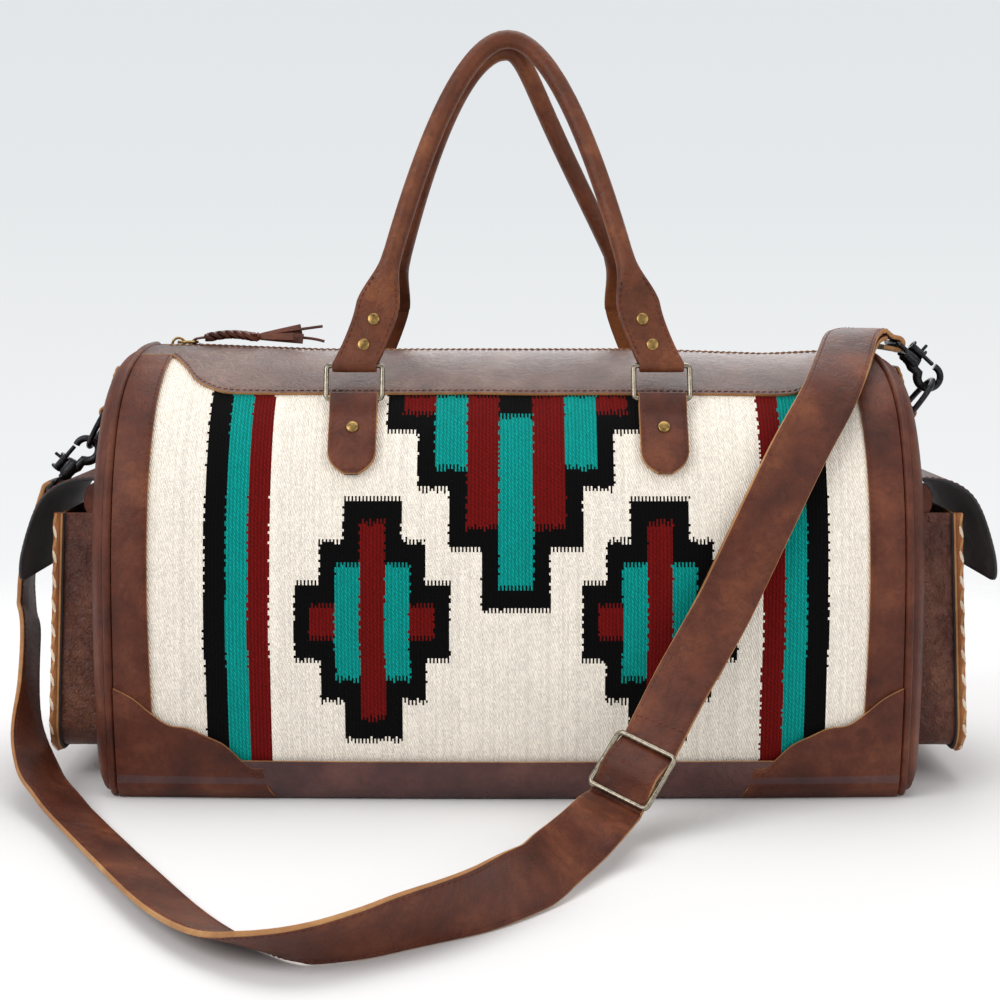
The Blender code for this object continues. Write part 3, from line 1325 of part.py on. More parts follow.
def strap_stations():
    """Centre, across and normal of the strap from the left hook to the right one."""
    thick = STRAP_THICKNESS
    y_axis = Vector((0, 1, 0))
    left_lead, left_out = Vector((-0.42, 0, -0.907)), Vector((-0.907, 0, 0.42))
    right_lead, right_out = Vector((-0.985, 0, 0.17)), Vector((0.17, 0, 0.985))
    path = [(p, y_axis) for p in reversed(fold(HOOKS[LEFT].swivel, left_lead, left_out, ()))]
    path += smooth_route([path[-1]] + STRAP_FLOOR_ROUTE[1:], 2)[1:]
    up, across, outward = slider_frame()
    dip = SLIDER_WIRE_RADIUS + thick / 2 + GAP * 2
    pitch = SLIDER_FRAME[1] / 2 - SLIDER_WIRE_RADIUS
    for gone, level in ((-1.25, -0.9), (-1.0, -1.0), (-0.55, -0.1), (0.0, 1.0), (0.55, -0.1), (1.0, -1.0),
                        (1.25, -1.0)):
        path.append((SLIDER_CENTRE + up * (pitch * gone) + outward * (dip * level), -across))
    front_start = len(path)
    end_fold = [(p, y_axis) for p in fold(HOOKS[RIGHT].swivel, right_lead, right_out, (0.004,))]
    path += smooth_route([path[-1]] + STRAP_FRONT_ROUTE + end_fold[:1], 2)[1:]
    front_end = len(path) - 2
    path += end_fold[1:]
    stations = []
    for i, (point, across_wish) in enumerate(path):
        before, after = path[max(i - 1, 0)][0], path[min(i + 1, len(path) - 1)][0]
        tangent = (after - before).normalized()
        width = (across_wish - tangent * across_wish.dot(tangent)).normalized()
        if stations and width.dot(stations[-1][1]) < 0:
            width.negate()
        normal = width.cross(tangent).normalized()
        lowest = point.z - abs(width.z) * STRAP_WIDTH / 2 - abs(normal.z) * thick / 2
        point = point + Vector((0, 0, max(0.0, GAP - lowest)))
        stations.append((point, width, normal, STRAP_WIDTH / 2, thick / 2))
    return stations, front_start, front_end


def shoulder_strap():
    """The whole strap, and the layer that comes back from the right hook to the slider."""
    stations, start, end = strap_stations()
    loft("shoulder_strap", stations, "strap_leather")
    behind = []
    for point, width, normal, half, thick in stations[start + 3:end - 3]:
        inward = Vector((point.x, 0, 0.12)) - point
        turn = 1 if normal.dot(inward) > 0 else -1
        behind.append((point + normal * (turn * STRAP_LAYER_PITCH), width, normal, half, thick))
    loft("strap_return", behind, "strap_leather")


def main():
    for old in list(bpy.data.objects):
        bpy.data.objects.remove(old, do_unlink=True)
    for side in (FRONT, BACK):
        bar, rise, _, _ = handle_frame(side)
        woven_panel(side)
        yoke(side)
        bottom_band(side)
        zip_tape(side)
        pivot(handle(side), bar + rise * RING_PITCH)
        for end in (LEFT, RIGHT):
            side_strip(side, end)
            corner_patch(side, end)
            tab(side, end)
            pivot(handle_ring(side, end), bar + Vector((end * HANDLE_SPREAD, 0, 0)))
            foot(side, end)
    base_panel()
    base_board()
    lining()
    pivot(zip_slider(), (SLIDER_X, 0, RIDGE_TOP))
    pivot(zip_pull_ring(), PULL_AXIS)
    pivot(zip_braid(), PULL_AXIS)
    for end in (LEFT, RIGHT):
        end_panel(end)
        piping(end)
        pocket_wall(end)
        pocket_face(end)
        pivot(flap(end), (end * FLAP_HINGE_X, 0, FLAP_ROOT_HEIGHT))
        d_ring_tab(end)
        d_ring(end)
        pivot(snap_hook(end), HOOKS[end].eye)
        pivot(hook_bolt(end), HOOKS[end].eye)
        pivot(swivel_eye(end), HOOKS[end].eye)
    strap_slider()
    shoulder_strap()


main()
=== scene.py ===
# %% [markdown]
# # A woven weekender bag
# The bag is a soft half-round body of patterned wool, trimmed with waxed leather, on four metal feet.
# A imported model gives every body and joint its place. This script dresses it, cell by cell:
# first the camera, then the finishes, then each piece, from the long strap to the last stitch.

# %% The frame
import math

import bpy
import numpy as np
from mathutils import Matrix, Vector, noise


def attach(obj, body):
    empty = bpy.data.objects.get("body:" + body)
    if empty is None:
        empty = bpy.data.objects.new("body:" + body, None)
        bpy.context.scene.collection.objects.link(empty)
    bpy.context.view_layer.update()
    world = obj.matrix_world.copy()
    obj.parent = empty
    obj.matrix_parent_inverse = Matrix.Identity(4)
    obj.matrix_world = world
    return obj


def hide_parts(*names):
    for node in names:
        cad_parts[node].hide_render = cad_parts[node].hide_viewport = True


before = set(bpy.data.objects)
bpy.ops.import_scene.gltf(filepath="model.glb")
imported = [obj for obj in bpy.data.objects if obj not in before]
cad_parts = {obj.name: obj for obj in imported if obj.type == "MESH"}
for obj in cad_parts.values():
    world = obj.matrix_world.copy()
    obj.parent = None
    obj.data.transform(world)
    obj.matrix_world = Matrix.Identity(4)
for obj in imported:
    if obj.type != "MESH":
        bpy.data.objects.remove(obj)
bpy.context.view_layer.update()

# %% [markdown]
# ## The camera and the light
# The photograph was taken from a little above the bag's top, square to its front, with a long lens.
# A long lens keeps the two ends alike. Big soft lamps and a pale floor give an even catalogue light,
# in which leather still shows a sheen along its edges.

# %% Camera
LENS_MM = 66.9
CAMERA_PLACE = (-0.0040, -1.2982, 0.3230)
CAMERA_TILT = math.radians(90 - 6.23)

camera_data = bpy.data.cameras.new("camera")
camera_data.lens = LENS_MM
camera_data.sensor_width = 36
camera = bpy.data.objects.new("camera", camera_data)
camera.location = CAMERA_PLACE
camera.rotation_euler = (CAMERA_TILT, 0, math.radians(0.06))
bpy.context.collection.objects.link(camera)
bpy.context.scene.camera = camera
bpy.context.scene.view_settings.view_transform = "Standard"

# %% Finishes: helpers


def hex_colour(value):
    """An sRGB hex colour as the linear numbers that Blender's sockets take."""
    parts = [int(value[i:i + 2], 16) / 255 for i in (0, 2, 4)]
    return tuple([c / 12.92 if c <= 0.04045 else ((c + 0.055) / 1.055) ** 2.4 for c in parts] + [1.0])


def feed(tree, node, **links):
    """Values or links for a node's inputs, by name (two underscores for a space) or by number."""
    for name, value in links.items():
        socket = node.inputs[int(name[1:])] if name[0] == "_" else node.inputs[name.replace("__", " ")]
        if isinstance(value, bpy.types.NodeSocket):
            tree.links.new(value, socket)
        else:
            socket.default_value = value
    return node


def add(tree, kind, settings=None, **links):
    """One node: its settings by name, and values or links for its inputs."""
    made = tree.nodes.new(kind)
    for name, value in (settings or {}).items():
        setattr(made, name, value)
    return feed(tree, made, **links)


def new_material(name):
    """A named material with its tree, its Principled shader and a texture coordinate node."""
    made = bpy.data.materials.new(name)
    made.use_nodes = True
    tree = made.node_tree
    return made, tree, tree.nodes["Principled BSDF"], tree.nodes.new("ShaderNodeTexCoord")


def ramp(tree, factor, stops):
    """A colour ramp from (place, hex colour) stops."""
    made = add(tree, "ShaderNodeValToRGB", _0=factor)
    elements = made.color_ramp.elements
    while len(elements) < len(stops):
        elements.new(0.5)
    for element, (place, colour) in zip(elements, stops):
        element.position = place
        element.color = hex_colour(colour)
    return made.outputs[0]


def mix(tree, factor, first, second, how="MIX"):
    """Two colours mixed."""
    settings = {"data_type": "RGBA", "blend_type": how}
    return add(tree, "ShaderNodeMix", settings, _0=factor, _6=first, _7=second).outputs[2]


def sums(tree, how, first, second=0.5, third=0.5):
    """One step of arithmetic."""
    return add(tree, "ShaderNodeMath", {"operation": how}, _0=first, _1=second, _2=third).outputs[0]


def span(tree, value, low, high, new_low=0.0, new_high=1.0, settings=None):
    """A value's range stretched to another range."""
    made = add(tree, "ShaderNodeMapRange", settings, _0=value, _1=low, _2=high, _3=new_low, _4=new_high)
    return made.outputs[0]


def noise_of(tree, spot, scale, detail, **settings):
    """A noise texture's value at a place."""
    return add(tree, "ShaderNodeTexNoise", Vector=spot, Scale=scale, Detail=detail, **settings).outputs[0]


def relief(tree, shader, strength, distance, height):
    """Fine relief on a finish, its distance in metres."""
    bump = add(tree, "ShaderNodeBump", Strength=strength, Distance=distance, Height=height)
    feed(tree, shader, Normal=bump.outputs[0])


FADE_START, FADE_END = 0.45, 1.15


def stage_material(name, colour):
    """Matt paper that fades away with distance, so that it has no far edge."""
    made, tree, shader, _ = new_material(name)
    feed(tree, shader, Base__Color=hex_colour(colour), Roughness=1.0, Specular__IOR__Level=0.0)
    spot = add(tree, "ShaderNodeNewGeometry").outputs["Position"]
    away = add(tree, "ShaderNodeVectorMath", {"operation": "LENGTH"}, _0=spot).outputs["Value"]
    gone = span(tree, away, FADE_START, FADE_END, settings={"interpolation_type": "SMOOTHSTEP"})
    only_seen = sums(tree, "MULTIPLY", gone, add(tree, "ShaderNodeLightPath").outputs["Is Camera Ray"])
    clear = add(tree, "ShaderNodeBsdfTransparent")
    mixed = add(tree, "ShaderNodeMixShader", _0=only_seen, _1=shader.outputs[0], _2=clear.outputs[0])
    tree.links.new(mixed.outputs[0], tree.nodes["Material Output"].inputs[0])
    return made


# %% Stage and lamps
FLOOR_SIZE = 12.0
SKY_LOW, SKY_HIGH = -0.36, 0.16
LAMPS = (("lamp_left", (-1.9, -1.7, 1.9), 1.6, 38), ("lamp_right", (1.8, -1.9, 1.6), 1.6, 15),
         ("lamp_top", (0.1, 0.5, 2.3), 1.8, 26), ("lamp_back", (0.3, 2.2, 1.4), 1.6, 14))

bpy.ops.object.select_all(action="DESELECT")
bpy.ops.mesh.primitive_plane_add(size=FLOOR_SIZE, location=(0, 1.0, 0))
floor = bpy.context.object
floor.name = "floor"
floor.data.materials.append(stage_material("matt_paper_white", "E9E8E8"))

world = bpy.data.worlds.new("studio")
bpy.context.scene.world = world
world.use_nodes = True
sky = world.node_tree
sky_light = sky.nodes["Background"]
sky_light.inputs["Color"].default_value = (1, 1, 1, 1)
sky_light.inputs["Strength"].default_value = 0.62
facing = add(sky, "ShaderNodeSeparateXYZ", Vector=add(sky, "ShaderNodeTexCoord").outputs["Generated"])
height = span(sky, facing.outputs[2], SKY_LOW, SKY_HIGH)
backdrop = ramp(sky, height, [(0.10, "FFFFFF"), (0.45, "F4F5F6"), (0.80, "E6E9EB"), (1.0, "E3E6E9")])
seen = add(sky, "ShaderNodeBackground", Color=backdrop, Strength=1.0)
rays = add(sky, "ShaderNodeLightPath")
choose = add(sky, "ShaderNodeMixShader", _0=rays.outputs["Is Camera Ray"], _1=sky_light.outputs[0],
             _2=seen.outputs[0])
sky.links.new(choose.outputs[0], sky.nodes["World Output"].inputs[0])

for name, place, size, power in LAMPS:
    lamp_data = bpy.data.lights.new(name, "AREA")
    lamp_data.energy = power
    lamp_data.size = size
    lamp = bpy.data.objects.new(name, lamp_data)
    lamp.location = place
    lamp.rotation_euler = (Vector((0, 0, 0.2)) - Vector(place)).to_track_quat("-Z", "Y").to_euler()
    bpy.context.collection.objects.link(lamp)

# %% [markdown]
# ## Leather
# The trim is cowhide tanned and then filled with wax, so it is smooth and a little greasy. Where it is
# bent the wax moves and the colour turns paler. A wide noise gives that cloudy pull-up, a fine Voronoi
# gives the pores, and a stretched noise gives the faint wrinkles, whose creases get painted shade.

# %% Leather finish
PORE_MM = 1.3
CLOUD_MM = 45.0
WRINKLE_MM = 9.0


def leather(name, dark, middle, light, rough=0.46, bump=0.35, shine_level=0.30, pore_mm=PORE_MM):
    """Waxed cowhide: cloudy colour, fine pores, faint wrinkles with painted shade in their creases, and a
    soft wax shine.
    """
    made, tree, shader, place = new_material(name)
    spot = place.outputs["Object"]
    cloud = noise_of(tree, spot, 1000 / CLOUD_MM, 6.0, Roughness=0.62)
    colour = ramp(tree, cloud, [(0.30, dark), (0.50, middle), (0.72, light)])
    pores = add(tree, "ShaderNodeTexVoronoi", {"feature": "DISTANCE_TO_EDGE"}, Vector=spot,
                Scale=1000 / pore_mm)
    pore_line = span(tree, pores.outputs["Distance"], 0.0, 0.28)
    wrinkles = noise_of(tree, spot, 1000 / WRINKLE_MM, 5.0, Roughness=0.65, Distortion=1.4)
    crease = span(tree, wrinkles, 0.36, 0.56)
    # Creases are mixed toward the dark tone as painted shade; the darker pore lines are the grain's own
    # colour.
    for lines, depth in ((crease, 0.35), (pore_line, 0.22)):
        shade = sums(tree, "MULTIPLY", sums(tree, "SUBTRACT", 1.0, lines), depth)
        colour = mix(tree, shade, colour, hex_colour(dark))
    shine = span(tree, wrinkles, 0.3, 0.7, rough - 0.07, rough + 0.10)
    feed(tree, shader, Base__Color=colour, Roughness=shine, IOR=1.46, Specular__IOR__Level=shine_level)
    relief(tree, shader, bump, 0.0006, sums(tree, "MULTIPLY_ADD", pore_line, 0.35, crease))
    return made


body_leather = leather("waxed_cowhide_brown", "37180F", "5A2B1C", "7C462E")
# The yoke's copy of the leather is greyer and lighter than the body's: its colours are a painted reflection
# of the pale surroundings on the bag's top.
yoke_painted_sheen_leather = leather("waxed_cowhide_painted_sheen", "3D2722", "5F4138", "84675A", rough=0.34, shine_level=0.62)
# The band's copy of the leather is darker and more purple than the body's: its colours paint the sheen along
# the foot.
band_painted_sheen_leather = leather("waxed_cowhide_band_painted_sheen", "33191A", "4F2B28", "6B4139", rough=0.34, shine_level=0.55)
grain_leather = leather("grained_cowhide_brown", "33170F", "5C2F21", "80503A", rough=0.40, bump=1.0,
                        shine_level=0.45, pore_mm=2.6)
strap_leather = leather("waxed_cowhide_strap", "3A1A10", "5E2E1D", "824A2E", rough=0.42)
handle_leather = leather("waxed_cowhide_rolled", "43200F", "6B3820", "925833", rough=0.36)
# Near-black neutral grey: painted shade on the flaps' undersides and edges, and in the seam round each pocket
# as a thin bead.
shade_grey_leather = leather("painted_shade_grey", "2E2C2D", "3C3A3B", "4B4748", rough=0.75, bump=0.2)
thread_dark = leather("waxed_thread_brown", "3F1C12", "66301D", "86482F", rough=0.6, bump=0.1)
lace_light = leather("lacing_pale", "A68B6E", "D8C6AC", "EFE4D2", rough=0.6, bump=0.1)
lace_tan = leather("lacing_tan", "6E3F22", "94582F", "B27745", rough=0.5, bump=0.25)
cut_edge = leather("cut_edge_tan", "8A5B36", "A9794C", "C59A66", rough=0.62, bump=0.25)

# %% [markdown]
# ## Metal
# Rings, buckle and feet are cast zinc plated and then aged, so the shine is broken by fine scuffs. The
# hooks are gunmetal, nearly black. Noise in the roughness gives the scuffs without any drawing on them.

# %% Metal finishes
SCUFF_MM = 3.0


def metal(name, colour, dark, rough):
    """Plated metal with scuffs that break its shine."""
    made, tree, shader, place = new_material(name)
    scuffs = noise_of(tree, place.outputs["Object"], 1000 / SCUFF_MM, 5.0, Roughness=0.7)
    shine = span(tree, scuffs, 0.3, 0.7, rough - 0.08, rough + 0.14)
    plating = ramp(tree, scuffs, [(0.30, dark), (0.62, colour)])
    feed(tree, shader, Base__Color=plating, Roughness=shine, Metallic=1.0)
    relief(tree, shader, 0.12, 0.0002, scuffs)
    return made


aged_brass = metal("aged_brass", "A98A55", "6B5230", 0.30)
aged_nickel = metal("aged_nickel", "A39A8A", "6A6256", 0.28)
gunmetal = metal("gunmetal", "3A3A3C", "1C1C1E", 0.32)

# %% [markdown]
# ## The woven wool
# The cloth is a flat-woven wool rug: pale wool in a fine diagonal twill, and black, turquoise and dark
# red figures woven in by hand. Every figure steps from thread to thread, so its edges are stairs, not
# lines. The cell of one step gets its colour in code, as a weaver would count it. The shader then adds
# the threads: ribs along the warp, slanted floats, and a little fuzz, with painted shade between them.

# %% Wool finish
TWILL_MM = 1.6
WARP_MM = 2.3
FLOAT_MM = 2.9


def wool():
    """Flat-woven wool: the cells' own colours, crossed by ribs and slanted floats with painted shade between
    them.
    """
    made, tree, shader, _ = new_material("flat_woven_wool")
    cells = add(tree, "ShaderNodeAttribute", {"attribute_name": "cells"})
    flat = add(tree, "ShaderNodeUVMap", {"uv_map": "cloth"}).outputs[0]
    split = add(tree, "ShaderNodeSeparateXYZ", Vector=flat)
    wander = sums(tree, "SUBTRACT", noise_of(tree, flat, 160.0, 3.0), 0.5)
    drift = sums(tree, "MULTIPLY", wander, 0.0012)
    across = sums(tree, "ADD", split.outputs[0], drift)
    upward = sums(tree, "ADD", split.outputs[1], drift)

    def rib(value, pitch_mm):
        turns = sums(tree, "MULTIPLY", value, 2 * math.pi * 1000 / pitch_mm)
        return sums(tree, "MULTIPLY_ADD", sums(tree, "SINE", turns), 0.5, 0.5)

    twill = rib(sums(tree, "MULTIPLY_ADD", upward, 0.38, across), TWILL_MM)
    warp = rib(across, WARP_MM)
    floats = rib(sums(tree, "MULTIPLY_ADD", across, 1.9, upward), FLOAT_MM)
    figure = cells.outputs["Alpha"]
    woven = sums(tree, "POWER", sums(tree, "MULTIPLY", floats, warp), 0.75)
    height = add(tree, "ShaderNodeMix", {"data_type": "FLOAT"}, _0=figure, _2=twill, _3=woven).outputs[0]
    fuzz = noise_of(tree, flat, 1500.0, 4.0, Roughness=0.7)
    blotch = noise_of(tree, flat, 60.0, 3.0)
    # Thread crowns are painted lighter and the hollows between threads darker, deepest in the figures:
    # painted highlight and shade. The fuzz and blotch noises vary the tone at random.
    shade = span(tree, height, 0.0, 1.0, sums(tree, "MULTIPLY_ADD", figure, -0.42, 0.90), 1.10)
    for cloud, depth, least in ((fuzz, 0.30, 0.86), (blotch, 0.14, 0.94)):
        shade = sums(tree, "MULTIPLY", shade, sums(tree, "MULTIPLY_ADD", cloud, depth, least))
    grey = add(tree, "ShaderNodeCombineColor", Red=shade, Green=shade, Blue=shade)
    colour = mix(tree, 1.0, cells.outputs["Color"], grey.outputs[0], "MULTIPLY")
    feed(tree, shader, Base__Color=colour, Roughness=0.92, Specular__IOR__Level=0.08, Sheen__Weight=0.03,
         Sheen__Roughness=0.5)
    relief(tree, shader, 0.55, 0.0008, sums(tree, "MULTIPLY_ADD", fuzz, 0.45, height))
    return made


flat_wool = wool()


BAND_RATIO = 6.3


def plain_cloth(name, colour, dark, pitch_mm):
    """A plain woven tape or lining: threads over and under at that pitch."""
    made, tree, shader, place = new_material(name)
    first, second = (add(tree, "ShaderNodeTexWave", {"bands_direction": way}, Vector=place.outputs["Object"],
                         Scale=1000 / pitch_mm / BAND_RATIO).outputs["Fac"] for way in ("X", "DIAGONAL"))
    weave = sums(tree, "MULTIPLY", first, second)
    feed(tree, shader, Base__Color=mix(tree, weave, hex_colour(dark), hex_colour(colour)), Roughness=0.9)
    relief(tree, shader, 0.4, 0.0004, weave)
    return made


tape_cloth = plain_cloth("zip_tape_dark", "3F2D27", "241814", 0.9)
lining_cloth = plain_cloth("lining_grey", "4A4748", "2A2829", 1.2)

# %% [markdown]
# ## The bag's form
# All cloth and leather of the body follow one form: a flat base with round corners, sides that swell a
# little, and a full half-round top. A point of a flat pattern has a place along the bag, x, and a
# distance round it, the girth. Wrapping the pattern keeps its real size, as sewing does.

# %% The form in numbers
HALF_LENGTH, HALF_DEPTH, BASE_HALF_DEPTH = 0.2555, 0.1275, 0.1215
RIDGE_HEIGHT, BELLY_HEIGHT, BASE_HEIGHT, BASE_CORNER = 0.2865, 0.100, 0.0105, 0.014
SIDE_BULGE, RIDGE_END_PULL, CROWN_POWER = 0.05, 0.0115, 2.8
SEAM_MARGIN, SIDE_STRIP_WIDTH = 0.0032, 0.0265
CLOTH, LEATHER, GAP = 0.0020, 0.0020, 0.0003
FRONT, BACK, LEFT, RIGHT = -1, 1, -1, 1
SIDE_NAMES = {FRONT: "front", BACK: "back"}
END_NAMES = {LEFT: "left", RIGHT: "right"}


def form_stations():
    """(half depth, height) all the way from the middle of the base to the ridge, finely spaced."""
    centre_y, centre_z = BASE_HALF_DEPTH - BASE_CORNER, BASE_HEIGHT + BASE_CORNER
    stations = [(centre_y * k / 12, BASE_HEIGHT) for k in range(12)]
    for k in range(17):
        turn = math.pi / 2 * k / 16
        stations.append((centre_y + BASE_CORNER * math.sin(turn), centre_z - BASE_CORNER * math.cos(turn)))
    for k in range(1, 31):
        height = centre_z + (BELLY_HEIGHT - centre_z) * k / 30
        inward = ((BELLY_HEIGHT - height) / (BELLY_HEIGHT - centre_z)) ** 2
        stations.append((HALF_DEPTH - (HALF_DEPTH - BASE_HALF_DEPTH) * inward, height))
    for k in range(1, 121):
        turn = math.pi / 2 * k / 120
        rise = math.sin(turn) ** (2 / CROWN_POWER)
        stations.append((HALF_DEPTH * math.cos(turn), BELLY_HEIGHT + (RIDGE_HEIGHT - BELLY_HEIGHT) * rise))
    return np.array(stations)


STATIONS = form_stations()
STEPS = np.diff(STATIONS, axis=0)
GIRTHS = np.concatenate([[0.0], np.cumsum(np.hypot(STEPS[:, 0], STEPS[:, 1]))])
RIDGE_GIRTH = GIRTHS[-1]
FACING = np.stack([STEPS[:, 1], -STEPS[:, 0]], axis=1) / np.hypot(STEPS[:, 0], STEPS[:, 1])[:, None]
NORMALS = np.vstack([[0, -1], (FACING[1:] + FACING[:-1]) / 2, [0, 1]])
NORMALS /= np.hypot(NORMALS[:, 0], NORMALS[:, 1])[:, None]


def girth_at(height):
    """The girth of a height on the bag's side."""
    return float(np.interp(height, STATIONS[28:, 1], GIRTHS[28:]))


PULL_START = GIRTHS[58 + int(120 * 6 / 13)]
CORNER_GIRTH = float(GIRTHS[12])
FOOT_SAG, RIDGE_SAG, LOWEST = 0.0068, 0.0035, 0.0006
SOFT_START, SOFT_FADE, END_FADE = 0.16, 0.05, 0.06
WIDE_SWELL, FINE_SWELL = 0.0016, 0.0006


def eased(share):
    """A share from 0 to 1 that starts and ends softly."""
    return share * share * (3 - 2 * share)


def drawn_in(girth):
    """0 up to where the ends are drawn in, then rising to 1 at the ridge."""
    return max(0.0, (girth - PULL_START) / (RIDGE_GIRTH - PULL_START))


def section_at(girth, lift):
    """Half depth and height at a girth, that far outside the form; the foot's edge sags below it."""
    depth, height = (float(np.interp(girth, GIRTHS, STATIONS[:, i])
                           + lift * np.interp(girth, GIRTHS, NORMALS[:, i])) for i in (0, 1))
    near_foot = float(np.interp(girth - CORNER_GIRTH, (0.0, 0.008, 0.014, 0.0255), (0.0, 1.0, 1.0, 0.0)))
    return depth, height - FOOT_SAG * eased(near_foot)


def ridge_sag(x, girth):
    """How far the soft top sinks between the handles and toward the right end."""
    along = float(np.interp(x, (-0.215, -0.13, 0.09, 0.18, 0.235), (0.0, 1.0, 1.0, 1.9, 1.2)))
    return RIDGE_SAG * along * eased(min(1.0, drawn_in(girth)))


def softness(x, girth, side):
    """How far cloth and leather swell or sink from the tight form, in metres."""
    fade = min(1.0, max(0.0, (girth - SOFT_START) / SOFT_FADE))
    fade *= min(1.0, max(0.0, (RIDGE_GIRTH - girth) / SOFT_FADE))
    fade *= min(1.0, (HALF_LENGTH - abs(x)) / END_FADE)
    wide = noise.noise(Vector((x * 9, girth * 10, 3.0 * side)))
    fine = noise.noise(Vector((x * 26, girth * 22, 7.0 * side)))
    return fade * (WIDE_SWELL * wide + FINE_SWELL * fine)


def wrap(x, girth, lift, side):
    """A flat pattern's point on the bag, that far outside the form."""
    girth = min(max(girth, 0.0), RIDGE_GIRTH)
    depth, height = section_at(girth, lift + softness(x, girth, side))
    height = max(height - ridge_sag(x, girth), LOWEST)
    share = min(abs(x) / HALF_LENGTH, 1.0)
    pulled = x - math.copysign(RIDGE_END_PULL * drawn_in(girth) ** 2 * share ** 6, x)
    return Vector((pulled, side * depth * (1 + SIDE_BULGE * (1 - share ** 2)), height))


def outward(x, girth, side):
    """The direction away from the bag at a pattern's point."""
    return (wrap(x, girth, 0.01, side) - wrap(x, girth, 0.0, side)).normalized()


print("girth from base to ridge", round(float(RIDGE_GIRTH), 4))

# %% [markdown]
# ## Ways of making a piece
# Most pieces here start as a grid of quads. Its points are dragged to a place on the bag, and the
# sides that meet are merged. A cut piece starts as one flat outline, which is sliced into small cells
# and then wrapped. Wires and cords are curves with a round bevel. Small things that repeat, such as
# stitches and zip teeth, are one simple shape laid many times along a line.

# %% Helpers for meshes
X_AXIS, Y_AXIS = Vector((1, 0, 0)), Vector((0, 1, 0))


def select(*parts):
    """Selects only these objects; the first is the active one."""
    bpy.ops.object.select_all(action="DESELECT")
    for part in parts:
        part.select_set(True)
    bpy.context.view_layer.objects.active = parts[0]


def named(made, name):
    """Gives an object and its mesh one name."""
    made.name = name
    made.data.name = name
    return made


def edit(made, *steps):
    """Runs edit mode steps on everything in one object."""
    select(made)
    bpy.ops.object.mode_set(mode="EDIT")
    bpy.ops.mesh.select_all(action="SELECT")
    for step in steps:
        step()
    bpy.ops.object.mode_set(mode="OBJECT")


def weld():
    """Merges points that meet."""
    bpy.ops.mesh.remove_doubles(threshold=2e-5)


def close_ends():
    """Fills the open ends."""
    bpy.ops.mesh.select_all(action="DESELECT")
    bpy.ops.mesh.select_non_manifold(extend=False, use_wire=False, use_multi_face=False,
                                     use_non_contiguous=False, use_verts=False)
    bpy.ops.mesh.edge_face_add()
    bpy.ops.mesh.select_all(action="SELECT")


def face_out():
    """Turns every face outward."""
    bpy.ops.mesh.select_all(action="SELECT")
    bpy.ops.mesh.normals_make_consistent(inside=False)


def smooth(made, degrees=38):
    """Smooth shading, with the sharp edges kept."""
    select(made)
    bpy.ops.object.shade_smooth_by_angle(angle=math.radians(degrees))
    return made


def modify(made, kind, **settings):
    """Adds a modifier and applies it."""
    modifier = made.modifiers.new(kind.lower(), kind)
    for name, value in settings.items():
        setattr(modifier, name, value)
    select(made)
    bpy.ops.object.modifier_apply(modifier=modifier.name)
    return made


def round_edges(made, width):
    """Rounds every edge that turns by more than 60 degrees."""
    return modify(made, "BEVEL", width=width, segments=2, limit_method="ANGLE", angle_limit=math.radians(60))


def join(name, parts):
    """Several objects as one piece."""
    select(*parts)
    bpy.ops.object.join()
    return named(bpy.context.object, name)


def grid_piece(name, place, columns, rows, materials, tube=False, capped=False, pick=None):
    """A grid primitive with its points dragged to place(across, along), which run from 0 to 1."""
    bpy.ops.object.select_all(action="DESELECT")
    bpy.ops.mesh.primitive_grid_add(x_subdivisions=columns, y_subdivisions=rows, size=1)
    made = named(bpy.context.object, name)
    flat = np.empty(len(made.data.vertices) * 3)
    made.data.vertices.foreach_get("co", flat)
    flat = flat.reshape(-1, 3) + 0.5
    points = np.array([place(u, v) for u, v, _ in flat])
    made.data.vertices.foreach_set("co", points.ravel())
    for material in materials:
        made.data.materials.append(material)
    if pick:
        corners = np.array([[flat[i] for i in face.vertices] for face in made.data.polygons])
        middles = corners.mean(axis=1)
        made.data.polygons.foreach_set("material_index", [pick(u, v) for u, v, _ in middles])
    steps = ([weld] if tube else []) + ([close_ends] if capped else []) + ([face_out] if tube else [])
    if steps:
        edit(made, *steps)
    return smooth(made)


def lathe(name, profile, origin, axis, material, segments=24):
    """A turned piece: (radius, height) points spun about an axis."""
    axis = Vector(axis).normalized()
    across = axis.orthogonal().normalized()
    other = axis.cross(across)
    origin = Vector(origin)

    def place(u, v):
        radius, height = profile[int(round(v * (len(profile) - 1)))]
        turn = 2 * math.pi * u
        return origin + axis * height + (across * math.cos(turn) + other * math.sin(turn)) * radius

    return grid_piece(name, place, segments, len(profile) - 1, [material], tube=True)


def wire(name, points, radius, material, closed=False, sides=4, sizes=None):
    """A round wire or cord along points, from a curve with a round bevel; sizes swell it point by point."""
    curve = bpy.data.curves.new(name, "CURVE")
    curve.dimensions = "3D"
    spline = curve.splines.new("POLY")
    spline.points.add(len(points) - 1)
    for spot, point in zip(spline.points, points):
        spot.co = (*point, 1)
    for spot, size in zip(spline.points, sizes or []):
        spot.radius = size
    spline.use_cyclic_u = closed
    curve.bevel_depth = radius
    curve.bevel_resolution = sides
    curve.use_fill_caps = not closed
    made = bpy.data.objects.new(name, curve)
    bpy.context.collection.objects.link(made)
    select(made)
    bpy.ops.object.convert(target="MESH")
    made = named(bpy.context.object, name)
    made.data.materials.clear()
    made.data.materials.append(material)
    edit(made, weld, face_out)
    return smooth(made)


